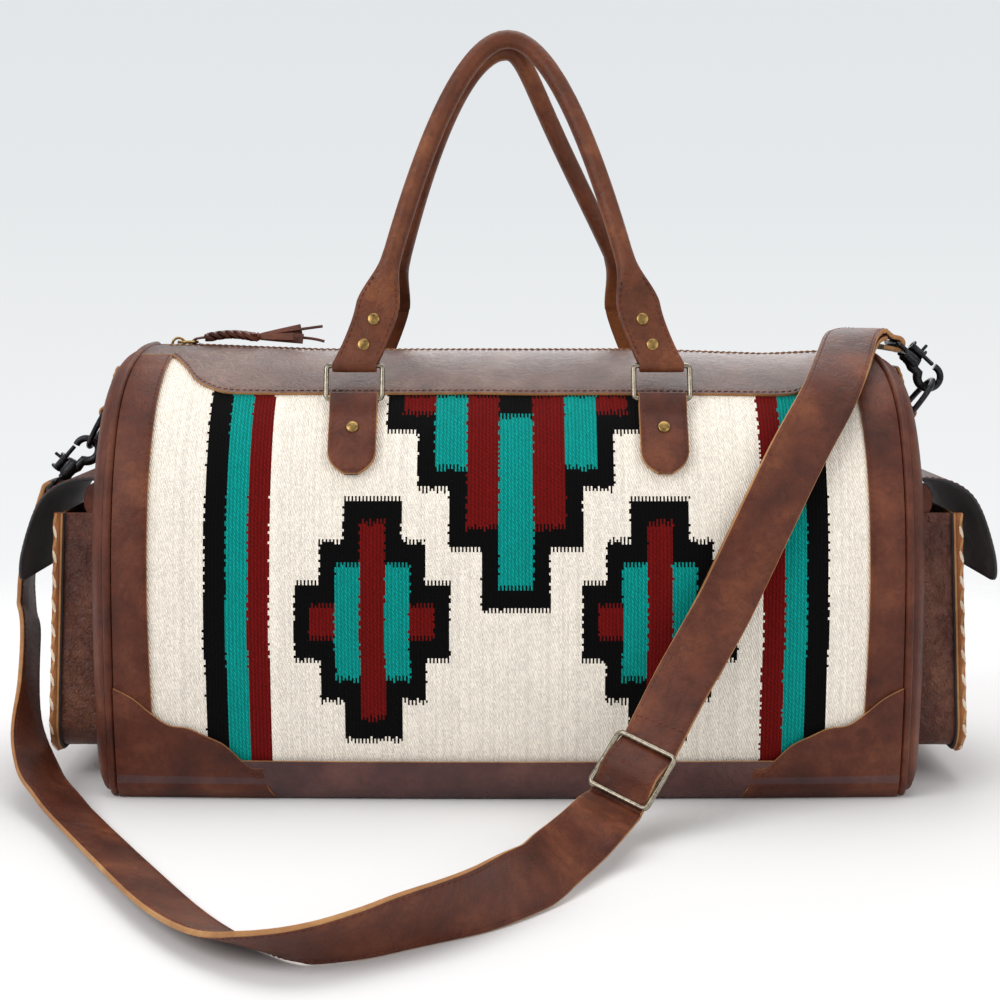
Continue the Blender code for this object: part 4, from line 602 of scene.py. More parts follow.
def curved(points, steps, closed=False):
    """A smooth Catmull-Rom line through points."""
    points = [Vector(p) for p in points]
    count = len(points)
    spans = count if closed else count - 1
    found = []
    for i in range(spans):
        if closed:
            a, b, c, d = (points[(i + k) % count] for k in (-1, 0, 1, 2))
        else:
            a, b = points[max(i - 1, 0)], points[i]
            c, d = points[i + 1], points[min(i + 2, count - 1)]
        for k in range(steps):
            t = k / steps
            found.append(0.5 * (2 * b + (c - a) * t + (2 * a - 5 * b + 4 * c - d) * t * t
                                + (3 * b - a - 3 * c + d) * t ** 3))
    return found if closed else found + [points[-1]]


def reached(points):
    """How far along a line each of its points is."""
    return np.concatenate([[0], np.cumsum([(b - a).length for a, b in zip(points, points[1:])])])


def tangent_at(points, i):
    """The direction of a line at one of its points."""
    return (points[min(i + 1, len(points) - 1)] - points[max(i - 1, 0)]).normalized()


def spaced(points, pitch):
    """(place, direction) at even distances along a line."""
    gone, flat = reached(points), np.array(points)
    count = max(1, int(round(gone[-1] / pitch)))
    marks = (np.arange(count) + 0.5) * gone[-1] / count

    def at(distances):
        return np.stack([np.interp(distances, gone, flat[:, i]) for i in range(3)], axis=1)

    middle, ahead, behind = (at(marks + pitch * by) for by in (0, 0.3, -0.3))
    return [(Vector(m), (Vector(a) - Vector(b)).normalized()) for m, a, b in zip(middle, ahead, behind)]


def repeats(name, template, frames, material):
    """One small shape laid at many frames: (place, length axis, width axis, height axis), scaled."""
    mesh = template.data
    shape = np.array([v.co for v in mesh.vertices])
    faces = [tuple(face.vertices) for face in mesh.polygons]
    points, loops = [], []
    for k, (place, length, width, height) in enumerate(frames):
        basis = np.array([length, width, height])
        points.append(shape @ basis + np.array(place))
        loops += [tuple(i + k * len(shape) for i in face) for face in faces]
    bpy.data.objects.remove(template)
    laid = bpy.data.meshes.new(name)
    laid.from_pydata(np.concatenate(points).tolist(), [], loops)
    laid.materials.append(material)
    made = bpy.data.objects.new(name, laid)
    bpy.context.collection.objects.link(made)
    edit(made, face_out)
    return smooth(made, 60)


def bead():
    """The small rounded shape of one stitch, a unit long."""
    bpy.ops.object.select_all(action="DESELECT")
    bpy.ops.mesh.primitive_uv_sphere_add(segments=6, ring_count=4, radius=0.5)
    return bpy.context.object


STITCH_PITCH, STITCH_LENGTH, STITCH_WIDTH, STITCH_SLANT = 0.0042, 0.0033, 0.0009, 0.12


def stitches(name, lines):
    """Stitches along lines: each line is points with an outward direction for each."""
    frames = []
    for points, outs in lines:
        gone, facing = reached(points), np.array([list(out) for out in outs])
        marks = spaced(points, STITCH_PITCH)
        for k, (place, along) in enumerate(marks):
            at = (k + 0.5) * gone[-1] / len(marks)
            out = Vector([np.interp(at, gone, facing[:, i]) for i in range(3)]).normalized()
            side = out.cross(along).normalized()
            turned = (along + side * STITCH_SLANT).normalized()
            side = out.cross(turned).normalized()
            frames.append((place, turned * STITCH_LENGTH, side * STITCH_WIDTH, out * STITCH_WIDTH * 0.9))
    return repeats(name, bead(), frames, thread_dark)


def rivet(name, place, out, radius=0.0041, height=0.0018, material=aged_brass):
    """A riveted cap: a nearly flat head with a soft edge."""
    profile = [(0.0, -0.0006), (radius, -0.0006), (radius * 1.02, height * 0.10), (radius, height * 0.38),
               (radius * 0.94, height * 0.58), (radius * 0.84, height * 0.70), (radius * 0.60, height * 0.82),
               (radius * 0.30, height * 0.92), (0.0, height * 0.95)]
    return lathe(name, profile, place, out, material)


CORNER_STEPS = 3


def round_bar_section(half_width, half_thick, radius, flat_steps):
    """(across, up) points round a flat strap's section."""
    points = []
    for sx, sz, start in ((1, -1, -90), (1, 1, 0), (-1, 1, 90), (-1, -1, 180)):
        cx, cz = sx * (half_width - radius), sz * (half_thick - radius)
        for k in range(CORNER_STEPS + 1):
            turn = math.radians(start + 90 * k / CORNER_STEPS)
            points.append((cx + radius * math.cos(turn), cz + radius * math.sin(turn)))
        if sx == sz:
            for k in range(1, flat_steps):
                points.append((cx - 2 * sx * (half_width - radius) * k / flat_steps, sz * half_thick))
    return points


def ribbon(name, stations, materials, corner=0.0009, flat_steps=6, crown=0.0):
    """A flat strap through stations: (centre, across, normal, half width, half thickness)."""
    rows = len(stations) - 1
    count = len(round_bar_section(1, 1, 0.1, flat_steps))

    def place(u, v):
        centre, across, normal, half_width, half_thick = stations[int(round(v * rows))]
        section = round_bar_section(half_width, half_thick, min(corner, half_thick * 0.95), flat_steps)
        a, b = section[int(round(u * count)) % count]
        swell = crown * (1 - (a / half_width) ** 2) if abs(b) > half_thick * 0.99 else 0.0
        return centre + across * a + normal * (b + math.copysign(swell, b))

    def pick(u, _):
        edges = round_bar_section(1.0, 0.1, 0.03, flat_steps)
        (a, b), (a2, b2) = edges[int(u * count) % count], edges[int(u * count + 1) % count]
        if abs(a + a2) / 2 > 0.98:
            return 1 % len(materials)
        return 0 if (b + b2) > 0 or len(materials) < 3 else 2

    return grid_piece(name, place, count, rows, materials, tube=True, capped=True, pick=pick)


def belongs(made, nodes, body="bag"):
    """Says which body a piece rides on and hides the nodes it stands for."""
    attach(made, body)
    if nodes:
        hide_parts(nodes)
    return made


def corner_name(side, end):
    """The name of a place by its side and its end."""
    return f"{SIDE_NAMES[side]}_{END_NAMES[end]}"


print("helpers ready")

# %% [markdown]
# ## The shoulder strap
# The strap is one belt of leather, 36 mm wide. It hangs from the left hook, lies on the ground in a
# slack curve before the bag, turns over once, and climbs through its slider. Then it runs doubled up
# the front to the right hook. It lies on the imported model's own route, repeated here.

# %% Hook places
D_RING_DEPTH, D_RING_WIDTH, D_WIRE = 0.028, 0.036, 0.002
D_RING_X, D_RING_HEIGHT = 0.2787, 0.2435
EYE_RADIUS, HOOK_WIRE, HOOK_REACH = 0.0080, 0.0024, 0.035
SWIVEL_WIRE = 0.00175


class HookSide:
    """The places of one end's D-ring, hook and swivel."""

    def __init__(self, end, ring_direction, hook_direction):
        self.bar = Vector((end * D_RING_X, 0, D_RING_HEIGHT))
        self.ring_direction = Vector(ring_direction).normalized()
        self.bow = self.bar + self.ring_direction * D_RING_DEPTH
        self.axis = Vector(hook_direction).normalized()
        self.eye = self.bow + self.axis * (EYE_RADIUS - HOOK_WIRE - D_WIRE - GAP)
        self.side = self.axis.cross(Y_AXIS).normalized()
        self.swivel = self.eye + self.axis * HOOK_REACH


HOOKS = {LEFT: HookSide(LEFT, (-0.50, 0, -0.866), (-0.66, 0, -0.751)),
         RIGHT: HookSide(RIGHT, (0.62, 0, 0.785), (-0.739, 0, 0.673))}

# %% The strap's route
STRAP_WIDTH, STRAP_THICK, LAYER_PITCH = 0.036, 0.0032, 0.0052
BUCKLE_CENTRE = Vector((0.0745, -0.2040, 0.0400))
BUCKLE_UP = Vector((0.520, 0.400, 0.755)).normalized()
BUCKLE_ACROSS = Vector((0.760, -0.520, -0.390))
BUCKLE_SIZE, BUCKLE_WIRE = (0.043, 0.040), 0.0017
FLOOR_ROUTE = [
    ((-0.3335, 0.0000, 0.1560), (0.00, 1.00, 0.00)),
    ((-0.3378, -0.0040, 0.1310), (0.00, 1.00, -0.02)),
    ((-0.3362, -0.0135, 0.1100), (0.00, 0.98, -0.04)),
    ((-0.3309, -0.0280, 0.0915), (0.00, 0.97, -0.05)),
    ((-0.3212, -0.0740, 0.0440), (0.06, 0.97, -0.08)),
    ((-0.3030, -0.1240, 0.0205), (0.34, 0.92, -0.16)),
    ((-0.2810, -0.1640, 0.0115), (0.64, 0.70, -0.26)),
    ((-0.2604, -0.2000, 0.0072), (0.82, 0.48, -0.28)),
    ((-0.2186, -0.2811, 0.0070), (0.88, 0.37, -0.28)),
    ((-0.1784, -0.3566, 0.0070), (0.84, 0.46, -0.28)),
    ((-0.1513, -0.3980, 0.0078), (0.70, 0.64, -0.33)),
    ((-0.1329, -0.4180, 0.0096), (0.42, 0.80, -0.43)),
    ((-0.1152, -0.4325, 0.0127), (0.05, 0.82, -0.60)),
    ((-0.0980, -0.4365, 0.0150), (0.00, 0.67, -0.74)),
    ((-0.0738, -0.4270, 0.0160), (0.08, 0.57, -0.81)),
    ((-0.0512, -0.4104, 0.0166), (0.16, 0.50, -0.85)),
    ((-0.0157, -0.3800, 0.0169), (0.32, 0.36, -0.87)),
    ((0.0122, -0.3400, 0.0168), (0.54, 0.08, -0.82)),
    ((0.0258, -0.3111, 0.0185), (0.68, -0.12, -0.70)),
    ((0.0404, -0.2789, 0.0205), (0.72, -0.30, -0.60)),
    ((0.0526, -0.2537, 0.0245), (0.76, -0.45, -0.48)),
]
FRONT_ROUTE = [
    ((0.1050, -0.1720, 0.0830), (-0.90, 0.30, 0.25)),
    ((0.1200, -0.1600, 0.1060), (-0.90, 0.18, 0.36)),
    ((0.1350, -0.1500, 0.1300), (-0.885, 0.08, 0.44)),
    ((0.1480, -0.1430, 0.1550), (-0.88, 0.04, 0.47)),
    ((0.1600, -0.1395, 0.1800), (-0.88, 0.04, 0.47)),
    ((0.1840, -0.1235, 0.2250), (-0.86, 0.12, 0.49)),
    ((0.2060, -0.1015, 0.2590), (-0.88, 0.20, 0.43)),
    ((0.2205, -0.0700, 0.2810), (-0.90, 0.36, 0.24)),
    ((0.2310, -0.0380, 0.2945), (-0.90, 0.42, 0.10)),
    ((0.2395, -0.0160, 0.2990), (-0.80, 0.60, 0.03)),
    ((0.2490, -0.0050, 0.3000), (-0.58, 0.81, 0.0)),
    ((0.2570, -0.0010, 0.2985), (-0.25, 0.97, 0.0)),
]
ROUTE_STEPS = 8


def smooth_route(route, steps):
    """Smooth places and across directions through a route."""
    places = curved([p for p, _ in route], steps)
    aligned = []
    for _, wish in route:
        wish = Vector(wish).normalized()
        aligned.append(-wish if aligned and wish.dot(aligned[-1]) < 0 else wish)
    widths = curved(aligned, steps)
    return [(p, w.normalized()) for p, w in zip(places, widths)]


def fold(bar, lead, out, gone):
    """The strap comes to a bar, folds round it and lies behind itself."""
    ring = SWIVEL_WIRE + 0.0006 + STRAP_THICK / 2
    path = [bar + lead * g + out * ring for g in gone]
    for k in range(13):
        turn = math.radians(90 - 180 * k / 12)
        path.append(bar - lead * (ring * math.cos(turn)) + out * (ring * math.sin(turn)))
    return path + [bar + lead * g - out * ring for g in (0.004, 0.009)]


def buckle_frame():
    """Along the strap at the buckle, across it, and outward."""
    across = (BUCKLE_ACROSS - BUCKLE_UP * BUCKLE_ACROSS.dot(BUCKLE_UP)).normalized()
    return BUCKLE_UP, across, across.cross(BUCKLE_UP).normalized()


def strap_stations():
    """Centre, across, normal and half sizes of the strap, from the left hook to the right one."""
    left_lead, left_out = Vector((-0.42, 0, -0.907)), Vector((-0.907, 0, 0.42))
    right_lead, right_out = Vector((-0.985, 0, 0.17)), Vector((0.17, 0, 0.985))
    path = [(p, Y_AXIS) for p in reversed(fold(HOOKS[LEFT].swivel, left_lead, left_out, ()))]
    up, across, outward_ = buckle_frame()
    dip = BUCKLE_WIRE + STRAP_THICK / 2 + GAP * 2
    pitch = BUCKLE_SIZE[1] / 2 - BUCKLE_WIRE
    weave = [(BUCKLE_CENTRE + up * (pitch * gone) + outward_ * (dip * level), -across)
             for gone, level in ((-1.25, -0.9), (-1.0, -1.0), (-0.55, -0.1), (0.0, 1.0), (0.55, -0.1),
                                 (1.0, -1.0), (1.25, -1.0))]
    path += smooth_route([path[-1]] + FLOOR_ROUTE + weave[:1], ROUTE_STEPS)[1:-1]
    path += smooth_route(weave, 4)
    front_start = len(path)
    end_fold = [(p, Y_AXIS) for p in fold(HOOKS[RIGHT].swivel, right_lead, right_out, (0.004,))]
    path += smooth_route([path[-1]] + FRONT_ROUTE + end_fold[:1], ROUTE_STEPS)[1:]
    front_end = len(path) - ROUTE_STEPS
    path += end_fold[1:]
    places = [point for point, _ in path]
    stations = []
    for i, (point, wish) in enumerate(path):
        tangent = tangent_at(places, i)
        width = (wish - tangent * wish.dot(tangent)).normalized()
        if stations and width.dot(stations[-1][1]) < 0:
            width.negate()
        normal = width.cross(tangent).normalized()
        lowest = point.z - abs(width.z) * STRAP_WIDTH / 2 - abs(normal.z) * STRAP_THICK / 2
        point = point + Vector((0, 0, max(0.0, GAP - lowest)))
        stations.append((point, width, normal, STRAP_WIDTH / 2, STRAP_THICK / 2))
    return stations, front_start, front_end


strap_line, front_start, front_end = strap_stations()
strap_path = [station[0] for station in strap_line]
strap_length = sum((b - a).length for a, b in zip(strap_path, strap_path[1:]))
strap = ribbon("shoulder_strap_leather", strap_line, [strap_leather, cut_edge, strap_leather], crown=0.0003,
               flat_steps=8)
belongs(strap, "shoulder_strap")
print("strap length", round(strap_length, 3), "faces", len(strap.data.polygons))

# %% The doubled layer, from the right hook back to the buckle


def inward_turn(point, normal):
    """1 or -1: which side of the strap faces the bag."""
    return 1 if normal.dot(Vector((point.x, 0, 0.12)) - point) > 0 else -1


first = front_start + 3 * ROUTE_STEPS // 2
last = front_end - ROUTE_STEPS // 2
behind = []
for point, width, normal, half, thick in strap_line[first:last]:
    behind.append((point + normal * (inward_turn(point, normal) * LAYER_PITCH), width, normal, half, thick))
strap_back = ribbon("shoulder_strap_return", behind, [strap_leather, cut_edge, strap_leather])
belongs(strap_back, "strap_return")

# %% The strap's stitching
EDGE_STITCH = 0.0026


def strap_seam(stations, side, face):
    """A stitch line along one edge of the strap, on one face."""
    points, outs = [], []
    for point, width, normal, half, thick in stations:
        points.append(point + width * (side * (half - EDGE_STITCH)) + normal * (face * (thick + 0.00005)))
        outs.append(normal * face)
    return points, outs


body_of_strap = strap_line[16:-16]
seams = [strap_seam(body_of_strap, side, face) for side in (-1, 1) for face in (-1, 1)]
seams += [strap_seam(behind, side, face) for side in (-1, 1) for face in (-1, 1)]
overlap = [station for station in strap_line if (station[0] - BUCKLE_CENTRE).dot(BUCKLE_UP) > 0.0325][0]
end_line = [overlap[0] + overlap[1] * (half_at * overlap[3]) for half_at in np.linspace(-0.86, 0.86, 9)]
grain_side = overlap[2] * -inward_turn(overlap[0], overlap[2])
seams.append(([p + grain_side * (overlap[4] + 0.0002) for p in end_line], [grain_side] * 9))
strap_stitching = belongs(stitches("strap_stitching", seams), None)
print("strap stitches", len(strap_stitching.data.polygons) // 24)

# %% The buckle: a wire frame with a centre bar
LOOP_CORNER_STEPS = 6


def rounded_loop(width, height, radius, across, up):
    """A closed line round a rectangle with round corners, its lower bar through the origin."""
    half = width / 2
    points = []
    for sign_x, sign_z, start in ((1, 0, -90), (1, 1, 0), (-1, 1, 90), (-1, 0, 180)):
        cx, cz = sign_x * (half - radius), (height - radius) if sign_z else radius
        for k in range(LOOP_CORNER_STEPS + 1):
            turn = math.radians(start + 90 * k / LOOP_CORNER_STEPS)
            points.append(across * (cx + radius * math.cos(turn)) + up * (cz + radius * math.sin(turn)))
    return points


up, across = buckle_frame()[:2]
start = BUCKLE_CENTRE - up * (BUCKLE_SIZE[1] / 2 - BUCKLE_WIRE)
inner_size = [size - 2 * BUCKLE_WIRE for size in BUCKLE_SIZE]
frame_line = [start + p for p in rounded_loop(*inner_size, 0.003, across, up)]
half_bar = BUCKLE_SIZE[0] / 2 - BUCKLE_WIRE
bar_line = [BUCKLE_CENTRE + across * (half_bar * share) for share in np.linspace(-1, 1, 6)]
buckle = join("strap_buckle", [wire("buckle_frame", frame_line, BUCKLE_WIRE, aged_nickel, closed=True),
                               wire("buckle_bar", bar_line, BUCKLE_WIRE * 0.9, aged_nickel)])
belongs(buckle, "strap_slider")

tuple(strap_path[0])
[tuple(p) for p in strap_path]

# %% [markdown]
# ## Cloth and leather cut flat
# Each piece of the body is cut as a flat outline of (x, girth) points, sliced into cells of a few
# millimetres, wrapped on the form, thickened and bevelled. Its cut edge shows the tan core of the hide.

# %% Cutting and wrapping
CELL = 0.007
SEAM_STEP, THREAD_LIFT = 0.003, 0.0001


def flat_shape(name, points):
    """One flat face with its corners at these points."""
    bpy.ops.object.select_all(action="DESELECT")
    bpy.ops.mesh.primitive_circle_add(vertices=len(points), fill_type="NGON")
    made = named(bpy.context.object, name)
    for vert, point in zip(made.data.vertices, points):
        vert.co = point
    return made


def slice_up(axis, low, high, count):
    """Cuts a flat shape into that many slices between two places along an axis."""
    normal = [1 if i == axis else 0 for i in range(3)]
    for k in range(1, count):
        bpy.ops.mesh.select_all(action="SELECT")
        bpy.ops.mesh.bisect(plane_co=[(low + (high - low) * k / count) * share for share in normal],
                            plane_no=normal, threshold=1e-6)


def thicken(made, facing):
    """Turns a shape outward if it faces in, then gives it the leather's thickness and soft edges."""
    if facing < 0:
        edit(made, bpy.ops.mesh.flip_normals)
    modify(made, "SOLIDIFY", thickness=LEATHER, offset=-1, use_rim=True, material_offset_rim=1)
    return smooth(round_edges(made, 0.0006))


def cut_piece(name, outline, side, level, material):
    """A flat outline sliced into cells, wrapped on the bag and thickened."""
    made = flat_shape(name, [(x, girth, 0) for x, girth in outline])

    def slices():
        for axis, cell in ((0, CELL * 1.6), (1, CELL)):
            low, high = min(point[axis] for point in outline), max(point[axis] for point in outline)
            slice_up(axis, low, high, max(1, int((high - low) / cell)))

    edit(made, slices)
    for vert in made.data.vertices:
        vert.co = wrap(vert.co.x, vert.co.y, level + LEATHER, side)
    made.data.materials.append(material)
    made.data.materials.append(cut_edge)
    return thicken(made, made.data.polygons[len(made.data.polygons) // 2].normal.y * side)


def flat_line(points, steps):
    """A smooth flat line through (x, girth) points."""
    return [(p.x, p.y) for p in curved([(x, g, 0) for x, g in points], steps)]


def seam_on_form(line, side, level):
    """A flat line of (x, girth) points laid on leather at a level, with outward directions."""
    dense = []
    for (x0, g0), (x1, g1) in zip(line, line[1:]):
        count = max(1, int(math.hypot(x1 - x0, g1 - g0) / SEAM_STEP))
        dense += [(x0 + (x1 - x0) * k / count, g0 + (g1 - g0) * k / count) for k in range(count)]
    dense.append(line[-1])
    lift = level + LEATHER + THREAD_LIFT
    return [wrap(x, g, lift, side) for x, g in dense], [outward(x, g, side) for x, g in dense]


# %% [markdown]
# ## The woven panels
# The figures are counted out on the cloth: three stripes near each end, a stepped diamond on each
# half, and a stepped pyramid that hangs from the yoke. Their sizes are in metres on the cloth. Level
# edges end in a comb of single threads, and upright edges bulge a little with each turn of the weft.

# %% Figures
WOOL = {"cream": "F4ECDF", "black": "070607", "turquoise": "06A69D", "red": "7A1210"}
MOTIF_SHIFT = 0.005
STRIPES = ((0.156, 0.170, "red"), (0.170, 0.184, "turquoise"), (0.184, 0.198, "black"))
DIAMOND_CENTRE = (0.0905, 0.118)
DIAMOND_FILL = ((0.0080, 0.0625, "red"), (0.0237, 0.0367, "turquoise"), (0.0395, 0.0103, "red"))
DIAMOND_BORDER = ((0.0187, 0.0770), (0.0338, 0.0512), (0.0495, 0.0251))
PYRAMID_FILL = ((0.0000, 0.0105, 0.0125, 0.1180, "turquoise"), (0.0105, 0.0310, 0.0, 0.0805, "red"),
                (0.0310, 0.0516, 0.0, 0.0440, "turquoise"), (0.0516, 0.0720, 0.0, 0.0111, "red"))
PYRAMID_BORDER = ((0.0210, 0.1330), (0.0420, 0.0941), (0.0625, 0.0573), (0.0827, 0.0226))
YOKE_EDGE = 0.258


def figure_at(x, z):
    """The wool at a place on the cloth, by its distance along the bag and its height."""
    away = abs(x - MOTIF_SHIFT)
    for inner, outer, colour in STRIPES:
        if inner <= away < outer:
            return colour
    below = YOKE_EDGE - z
    for inner, outer, top, bottom, colour in PYRAMID_FILL:
        if inner <= away < outer and top <= below < bottom:
            return colour
    if any(away < half and below < depth for half, depth in PYRAMID_BORDER):
        return "black"
    dx, dz = abs(away - DIAMOND_CENTRE[0]), abs(z - DIAMOND_CENTRE[1])
    for half_x, half_z, colour in DIAMOND_FILL:
        if dx < half_x and dz < half_z:
            return colour
    if any(dx < half_x and dz < half_z for half_x, half_z in DIAMOND_BORDER):
        return "black"
    return "cream"


COLUMN, ROW = 0.00115, 0.0016
SCALLOP, SCALLOP_DEPTH = 0.0056, 0.0010
COMB_DEPTH = 0.0017
CLOTH_FOOT, CLOTH_TOP = 0.022, 0.2825
PANEL_HALF = HALF_LENGTH - SIDE_STRIP_WIDTH + 0.010


def woven_panel(side):
    """The cloth of one side: a fine grid whose cells carry their wool's colour."""
    low, high = girth_at(CLOTH_FOOT), girth_at(CLOTH_TOP)
    columns, rows = int(2 * PANEL_HALF / COLUMN), int((high - low) / ROW)
    chance = np.random.default_rng(5 + side)
    comb = np.where(np.arange(columns) % 2 == 0, 1.0, -1.0) * COMB_DEPTH * chance.uniform(0.55, 1.15, columns)
    wander = np.cumsum(chance.normal(0, 0.00022, rows)) * 0.5
    wander -= np.linspace(0, wander[-1], rows)
    tones = chance.uniform(0.86, 1.06, (rows, columns))
    warp_tone = chance.uniform(0.92, 1.05, columns)

    def place(u, v):
        x, girth = -side * (-PANEL_HALF + 2 * PANEL_HALF * u), low + (high - low) * v
        return wrap(x, girth, CLOTH, side)

    name = f"{SIDE_NAMES[side]}_woven_cloth"
    made = grid_piece(name, place, columns, rows, [flat_wool])
    heights = np.interp(low + (high - low) * (np.arange(rows) + 0.5) / rows, GIRTHS, STATIONS[:, 1])
    palette = {key: np.array(hex_colour(value)) for key, value in WOOL.items()}
    colours = np.zeros((rows, columns, 4))
    for r in range(rows):
        z = heights[r]
        bulge = SCALLOP_DEPTH * abs(math.sin(math.pi * z / SCALLOP)) - SCALLOP_DEPTH / 2 + wander[r]
        for c in range(columns):
            x = -side * (-PANEL_HALF + 2 * PANEL_HALF * (c + 0.5) / columns)
            away = x - MOTIF_SHIFT
            found = figure_at(x - math.copysign(bulge, away), z + comb[c])
            tone = tones[r, c] * warp_tone[c]
            colours[r, c] = palette[found] * tone
            colours[r, c, 3] = 0.0 if found == "cream" else 1.0
    cells = made.data.attributes.new("cells", "FLOAT_COLOR", "CORNER")
    cells.data.foreach_set("color", np.repeat(colours.reshape(-1, 4), 4, axis=0).astype(np.float32).ravel())
    cloth = made.data.uv_layers.new(name="cloth")
    size = np.array([2 * PANEL_HALF, high - low])
    corners = np.empty(len(made.data.loops), dtype=np.int32)
    made.data.loops.foreach_get("vertex_index", corners)
    across, along = corners % (columns + 1), corners // (columns + 1)
    flat = np.stack([across / columns * size[0], along / rows * size[1]], axis=1)
    cloth.data.foreach_set("uv", flat.astype(np.float32).ravel())
    return belongs(made, f"{SIDE_NAMES[side]}_woven_panel")


for side in (FRONT, BACK):
    cloth = woven_panel(side)
    round(girth_at(CLOTH_TOP) - girth_at(CLOTH_FOOT), 4)
    print(cloth.name, len(cloth.data.polygons), "cells")

# %% [markdown]
# ## The leather trim
# A yoke over each shoulder, a strip beside each end, a band along the foot and a scalloped patch on
# each corner. All are sewn 2 mm from their edges with brown waxed thread.

# %% Trim sizes
LEATHER_LEVEL = CLOTH + GAP
PATCH_LEVEL = CLOTH + LEATHER + 2 * GAP
TRIM_EDGE, STRIP_INNER = HALF_LENGTH - SEAM_MARGIN, HALF_LENGTH - SIDE_STRIP_WIDTH
SEW_IN = 0.0021
ZIP_OPENING = 0.0105
SHOULDER, BAND_HEIGHT, CORNER_HEIGHT, CORNER_LENGTH = 0.2805, 0.028, 0.075, 0.110


def on_side(points):
    """(x, height) points as (x, girth)."""
    return [(x, girth_at(z)) for x, z in points]


def yoke_edge():
    """The yoke's lower edge, from the left end to the right one."""
    half = on_side([(-0.1780, YOKE_EDGE), (-0.1900, 0.2592), (-0.2050, 0.2650), (-0.2160, 0.2738),
                    (-0.2240, 0.2785), (-STRIP_INNER, SHOULDER)])
    line = flat_line(half, 5)
    return list(reversed(line)) + [(-x, g) for x, g in line]


def yoke(side):
    """The leather along the top, down to its curved lower edge."""
    edge, top, shoulder = yoke_edge(), float(RIDGE_GIRTH) - ZIP_OPENING, girth_at(SHOULDER)
    outline = [(-TRIM_EDGE, shoulder)] + edge + [(TRIM_EDGE, shoulder), (TRIM_EDGE, top), (-TRIM_EDGE, top)]
    name = SIDE_NAMES[side]
    # The yoke's grey-brown leather colour is a painted reflection, on the same hide as the body.
    belongs(cut_piece(f"{name}_yoke_painted_sheen_leather", outline, side, LEATHER_LEVEL, yoke_painted_sheen_leather), f"{name}_yoke")
    sewn = [(x * 0.996, g + SEW_IN) for x, g in edge]
    zip_seam = [(-TRIM_EDGE + 0.012, top - SEW_IN), (TRIM_EDGE - 0.012, top - SEW_IN)]
    return [seam_on_form(sewn, side, LEATHER_LEVEL), seam_on_form(zip_seam, side, LEATHER_LEVEL)]


def strip_line(end):
    """The inner edge of a side strip, from its foot to the shoulder."""
    return [(end * (STRIP_INNER + aside), girth_at(height) + up) for aside, height, up in
            ((-0.0020, BAND_HEIGHT, 0.0006), (0.0005, 0.120, 0), (0.0005, 0.200, 0), (0, 0.242, 0),
             (0, SHOULDER, -0.0006))]


def side_strip(side, end):
    """The upright strip beside an end seam."""
    inner = flat_line(strip_line(end), 4)
    outline = [(end * TRIM_EDGE, inner[0][1])] + inner + [(end * TRIM_EDGE, inner[-1][1])]
    name = corner_name(side, end)
    made = cut_piece(f"{name}_strip_leather", outline, side, LEATHER_LEVEL, body_leather)
    belongs(made, f"{name}_side_strip")
    return [seam_on_form([(x + end * SEW_IN, g) for x, g in inner], side, LEATHER_LEVEL)]


def bottom_band(side):
    """The band along the foot, turned under the base."""
    high, low = girth_at(BAND_HEIGHT), CORNER_GIRTH + GAP
    outline = [(-TRIM_EDGE, low), (TRIM_EDGE, low), (TRIM_EDGE, high), (-TRIM_EDGE, high)]
    name = SIDE_NAMES[side]
    # The band's darker purplish leather colour is a painted sheen, on the same hide as the body.
    made = cut_piece(f"{name}_band_painted_sheen_leather", outline, side, LEATHER_LEVEL, band_painted_sheen_leather)
    belongs(made, f"{name}_bottom_band")
    sewn = [(-STRIP_INNER + 0.004, high - SEW_IN), (STRIP_INNER - 0.004, high - SEW_IN)]
    return [seam_on_form(sewn, side, LEATHER_LEVEL)]


SCALLOP_LINE = [(0.0, 1.0), (0.11, 0.915), (0.225, 0.777), (0.32, 0.684), (0.43, 0.659), (0.535, 0.589),
                (0.64, 0.513), (0.745, 0.368), (0.80, 0.25), (0.86, 0.18)]


def corner_patch(side, end):
    """The scalloped patch on a bottom corner."""
    high = flat_line(on_side([(end * (TRIM_EDGE - CORNER_LENGTH * a), CORNER_HEIGHT * h)
                              for a, h in SCALLOP_LINE]), 4)
    low = CORNER_GIRTH + 2 * GAP
    outline = high + [(end * (TRIM_EDGE - CORNER_LENGTH * 0.96), low), (end * TRIM_EDGE, low)]
    name = corner_name(side, end)
    belongs(cut_piece(f"{name}_patch_leather", outline, side, PATCH_LEVEL, body_leather), f"{name}_corner")
    return [seam_on_form([(x + end * 0.0008, g - SEW_IN) for x, g in high], side, PATCH_LEVEL)]


FOOT_WELT = 0.0013


def foot_welt(side):
    """The thin welt in the seam between the band and the base."""
    line = [wrap(x, CORNER_GIRTH + 0.0050, LEATHER_LEVEL + LEATHER, side)
            for x in np.linspace(-TRIM_EDGE, TRIM_EDGE, 90)]
    line = [Vector((p.x, p.y, max(p.z - 0.0006, LOWEST + FOOT_WELT))) for p in line]
    belongs(wire(f"{SIDE_NAMES[side]}_foot_welt", line, FOOT_WELT, thread_dark), None)


trim_seams = []
for side in (FRONT, BACK):
    foot_welt(side)
    trim_seams += yoke(side) + bottom_band(side)
    for end in (LEFT, RIGHT):
        trim_seams += side_strip(side, end) + corner_patch(side, end)
trim_stitching = belongs(stitches("trim_stitching", trim_seams), None)
print("trim stitches", len(trim_stitching.data.polygons) // 24)

# %% [markdown]
# ## The ends
# Each end is a hide panel that bulges out of a corded welt, with a box pocket on its flat middle. The
# pocket's outer face is laced to its gusset with pale thonging, and a curled flap hangs over it.

